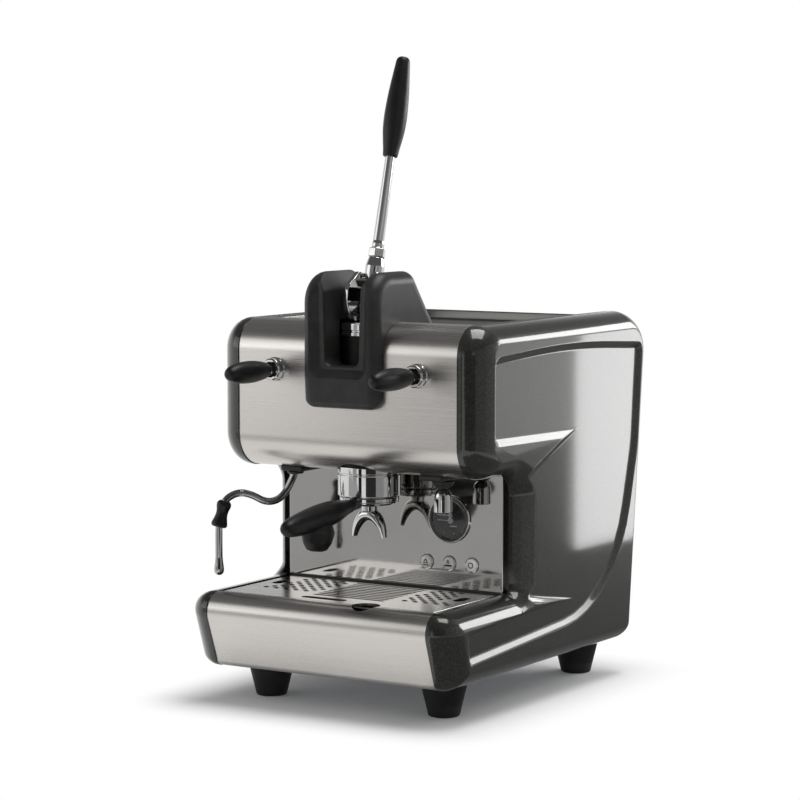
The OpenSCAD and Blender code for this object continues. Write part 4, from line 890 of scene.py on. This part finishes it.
for side, x in zip(("steam", "water"), tap_places):
    cross_pin = rod(2, (x - 10.4, tap_y, tap_z), (x + 10.4, tap_y, tap_z), 24)
    spindle = joined(at_tap(turned(spindle_profile, 48), x), cross_pin)
    boot = at_tap(turned(boot_profile, 48), x)
    add_piece(side + "_tap_boot_moulded", boot, black_rubber, side + "_tap", "rubber", crease=60.0)
    add_piece(side + "_tap_spindle_chromed", spindle, chrome, side + "_tap", "chrome", side + "_tap_spindle")
    add_piece(side + "_tap_lever_moulded", at_tap(turned(tap_profile, 64), x), grip_black, side + "_tap",
              "black_grip", side + "_tap_handle", crease=55.0)
dress(brass, "steam_valve", "water_valve")

# Steam wand: a bent chromed tube that swivels in a black bush under the head, with a rubber sleeve to
# hold it by and a screwed tip.


def on_wand(shape, tilt=0.0, out=0.0, height=0.0):
    """Places a piece of the wand, built about Z, by its distance out from the swivel and its height."""
    shape.transform(Matrix.Translation((wand_x, wand_y, 0)) @ Matrix.Rotation(radians(-45), 4, "Z")
                    @ Matrix.Translation((0, -out, height)) @ Matrix.Rotation(radians(tilt), 4, "X"))
    return shape


bush_profile = [(5.1, 242.6), (8.4, 242.6, 1), (9.4, 245), (6.6, 245), (6.6, 255.8), (5.1, 255.8), (5.1, 242.6)]
add_piece("wand_bush_moulded", on_wand(turned(bush_profile, 64)), satin_black, "machine", "black_moulding", "wand_boss")
wand_bends = [(0, 254), (-0.3, 246), (-3.2, 237.5), (-8.7, 226.6), (-15.4, 218), (-22, 213.8), (-29.8, 212.4),
              (-37.5, 214.2), (-44.1, 217.7), (-50.7, 220.6), (-58.3, 222.5), (-64.9, 222.1), (-70.4, 220.1),
              (-75.5, 216.8), (-79.6, 211), (-83, 199.5), (-84.6, 188), (-85, 175), (-85, 146.4)]
wand_line = threaded([(0, *bend) for bend in wand_bends])
wand_steel = plated("wand_stainless", (0.42, 0.42, 0.41), 0.1)
add_piece("wand_tube_polished", on_wand(piped(wand_line, 4)), wand_steel, "wand", "chrome", "wand_tube")
sleeve_profile = [(4.2, 0), (7.4, 0), (8.8, 1.6, 1.4), (8.8, 3.4)] + threaded(
    [(8.4, 5), (7, 10), (6.4, 14), (6.6, 18), (7.6, 22), (7.9, 24.5), (7.2, 27), (5.4, 28.8)]) + [(4.2, 29.2), (4.2, 0)]
add_piece("wand_sleeve_moulded", on_wand(turned(sleeve_profile, 64), -14, 85.2, 186.5), grip_black, "wand", "rubber",
          "wand_grip", crease=55.0)
tip_profile = [(0, 1), (1.2, 1), (1.2, 0)] + threaded(
    [(2.6, 0), (4.6, 2), (5.4, 5), (5.2, 9), (4.5, 14), (4.1, 19)]) + [(0, 19)]
add_piece("wand_tip_chromed", on_wand(turned(tip_profile, 48), 0, 85, 134), wand_steel, "wand", "chrome", "wand_tip")

# Hot water outlet: a chromed bell on a thin neck, which calms the stream, screwed up into the water
# valve's pipe through a black boss.
outlet_place = (87.5, -78, 0)
bell_profile = [(2.6, 254), (4.4, 254), (4.4, 236)] + threaded([(4.8, 235), (7.6, 232.4), (9.3, 228.6), (9.8, 224)]) + [
                (9.8, 210.2, 0.5), (8, 210.2, 0.4), (8, 226), (2.6, 228), (2.6, 254)]
add_piece("hot_water_bell_chromed", moved(turned(bell_profile, 64), outlet_place), chrome, "machine", "chrome",
          "hot_water_spout")
boss_profile = [(4.4, 244), (12.4, 244, 1), (11.2, 240, 3), (6.4, 235.6, 1), (4.4, 235.6), (4.4, 244)]
add_piece("hot_water_boss_moulded", moved(turned(boss_profile, 64), outlet_place), satin_black, "machine",
          "black_moulding")

# Indicator: a bright ring with a dark face, printed pale level lines and a clear lens, pushed into the
# backsplash from the front.


def at_splash(shape, x, z):
    return moved(shape, (x, splash_face, z), 90)


def at_dial(shape):
    return at_splash(shape, dial_x, dial_z)


bezel_profile = [(24.3, 0), (25.9, 0), (25.9, 1.6, 0.6), (25.3, 2.7, 0.5), (24.3, 2.7, 0.3), (24.3, 0)]
shroud_profile = [(22, 0), (24.3, 0), (24.3, 2.2), (22, 2.9, 0.3), (22, 0)]
add_piece("dial_bezel_chromed", at_dial(turned(bezel_profile, 96)), chrome, "machine", "chrome", "dial_bezel")
dial_dark = moulded("dial_dark_face", (0.07, 0.074, 0.068), 0.3, 700.0, 0.05)
add_piece("dial_shroud_moulded", at_dial(turned(shroud_profile, 96)), dial_dark, "machine", "dial")
dress(dial_dark, "dial_face")
pale_ink = moulded("pale_ink", (0.85, 0.85, 0.82), 0.5, 700.0, 0.05)
dial_bars = ((15.5, 1.3, -7.5, 4.2, 0), (15.5, 1.3, -7.5, -1.6, 0), (8.5, 1.3, 5.2, -7.4, 0), (2, 0.8, -6, -14.6, 90),
             (2, 0.8, 6, -15.4, 90))
dial_marks = [oblong(length, width, (x, z, 1.02), turn, 0.06) for length, width, x, z, turn in dial_bars]
dial_marks += [moved(turned([(0, 0), (r, 0), (r, 0.1), (0, 0.1)], 32), (x, z, 1.0))
               for r, x, z in ((2.6, 1.2, 4.2), (3.2, 1.2, -1.6))]
add_piece("dial_marks_printed", at_dial(joined(*dial_marks)), pale_ink, "machine", "dial")
clear_glass, glass_shader, glass_place = new_finish("clear_lens", {"Transmission Weight": 1.0, "IOR": 1.45})
(glass_place.noise(40.0) * 0.05 + 0.01).into(glass_shader, "Roughness")
lens_profile = [(0, 2.1), (21.8, 2.1), (21.8, 2.7, 0.3), (20, 3.1, 2), (0, 3.4)]
add_piece("dial_lens_domed", at_dial(turned(lens_profile, 96)), clear_glass, "machine", "lens", "dial_lens")

# Buttons: three sprung push buttons with domed satin faces and generic raised marks, each in a thin chrome
# ring, in front of a small switch board.
ring_profile = [(7.35, 0), (8.5, 0), (8.5, 0.9, 0.5), (8, 1.5, 0.3), (7.35, 1.3), (7.35, 0)]
rings = joined(*[at_splash(turned(ring_profile, 64), x, button_z) for x in button_places])
add_piece("button_rings_chromed", rings, chrome, "machine", "chrome", "button_rings")
button_white = moulded("button_satin", (0.86, 0.86, 0.84), 0.3, 500.0, 0.04)
mark_ink = moulded("button_ink", (0.03, 0.03, 0.029), 0.45, 700.0, 0.05)
button_profile = [(0, -2.1), (7, -2.1), (7, 1.6, 0.8), (6.2, 2.5, 1.2), (3, 3), (0, 3.15)]


def outline_mark(corners, width, height):
    """Raised closed line that follows a rounded outline."""
    outer = [(p.x, p.y) for p in eased(corners)]
    inner = [(p.x, p.y) for p in eased(inset_corners(corners, width))]
    return carved(stacked([[(x, y, height - 0.4) for x, y in outer], [(x, y, height) for x, y in outer]]),
                  stacked([[(x, y, height - 1) for x, y in inner], [(x, y, height + 1) for x, y in inner]]))


cup_mark = [(-3.2, -2, 0.8), (3.2, -2, 0.8), (0, 4.4, 0.8)]
button_marks = {
    "left": [outline_mark(cup_mark, 0.9, 3.2), oblong(7.4, 1.1, (0, -3.6, 2.8), 0, 0.3)],
    "middle": [moved(outline_mark([(0.75 * x, 0.75 * y, 0.7) for x, y, r in cup_mark], 0.8, 3.2), (0, 1.6, 0)),
               oblong(9, 2, (0, -2.2, 2.75), 0, 0.36)],
    "right": [turned([(2.3, 2.7), (3.3, 2.7), (3.3, 3.2), (2.3, 3.24), (2.3, 2.7)], 32)]}
for side, x in zip(("left", "middle", "right"), button_places):
    add_piece("button_" + side + "_domed", at_splash(turned(button_profile, 64), x, button_z), button_white,
              side + "_button", "satin_steel", "button_" + side)
    add_piece("button_" + side + "_mark", at_splash(joined(*button_marks[side]), x, button_z), mark_ink,
              side + "_button", "black_moulding")


def lacquered(name, colour, roughness):
    material, shader, place = new_finish(name, {"Specular IOR Level": 0.5})
    drift = place.noise(30.0, 4.0)
    drift.ramp(0.3, 0.7).blend(shaded(colour, 0.82), colour).into(shader, "Base Color")
    (drift * 0.2 + (roughness - 0.1)).into(shader, "Roughness")
    return material


dress(lacquered("board_green", (0.02, 0.14, 0.06), 0.4), "switch_board")

# Boiler, pump and electrics: a brazed copper boiler with its heating element, brass fittings and copper
# pipes, a painted motor with its pump, and a control box, all inside the body.
copper = turned_metal("brazed_copper", (0.72, 0.36, 0.22), 0.34)
dress(copper, "boiler", "boiler_pipes")
dress(brass, "boiler_fittings", "rear_fittings")
dress(plated_steel("element_steel", (0.36, 0.36, 0.37), 0.4), "heating_element")
dress(lacquered("motor_enamel", (0.09, 0.11, 0.14), 0.4), "pump")
dress(powder_coat("control_box_coat", (0.05, 0.055, 0.06)), "control_box")
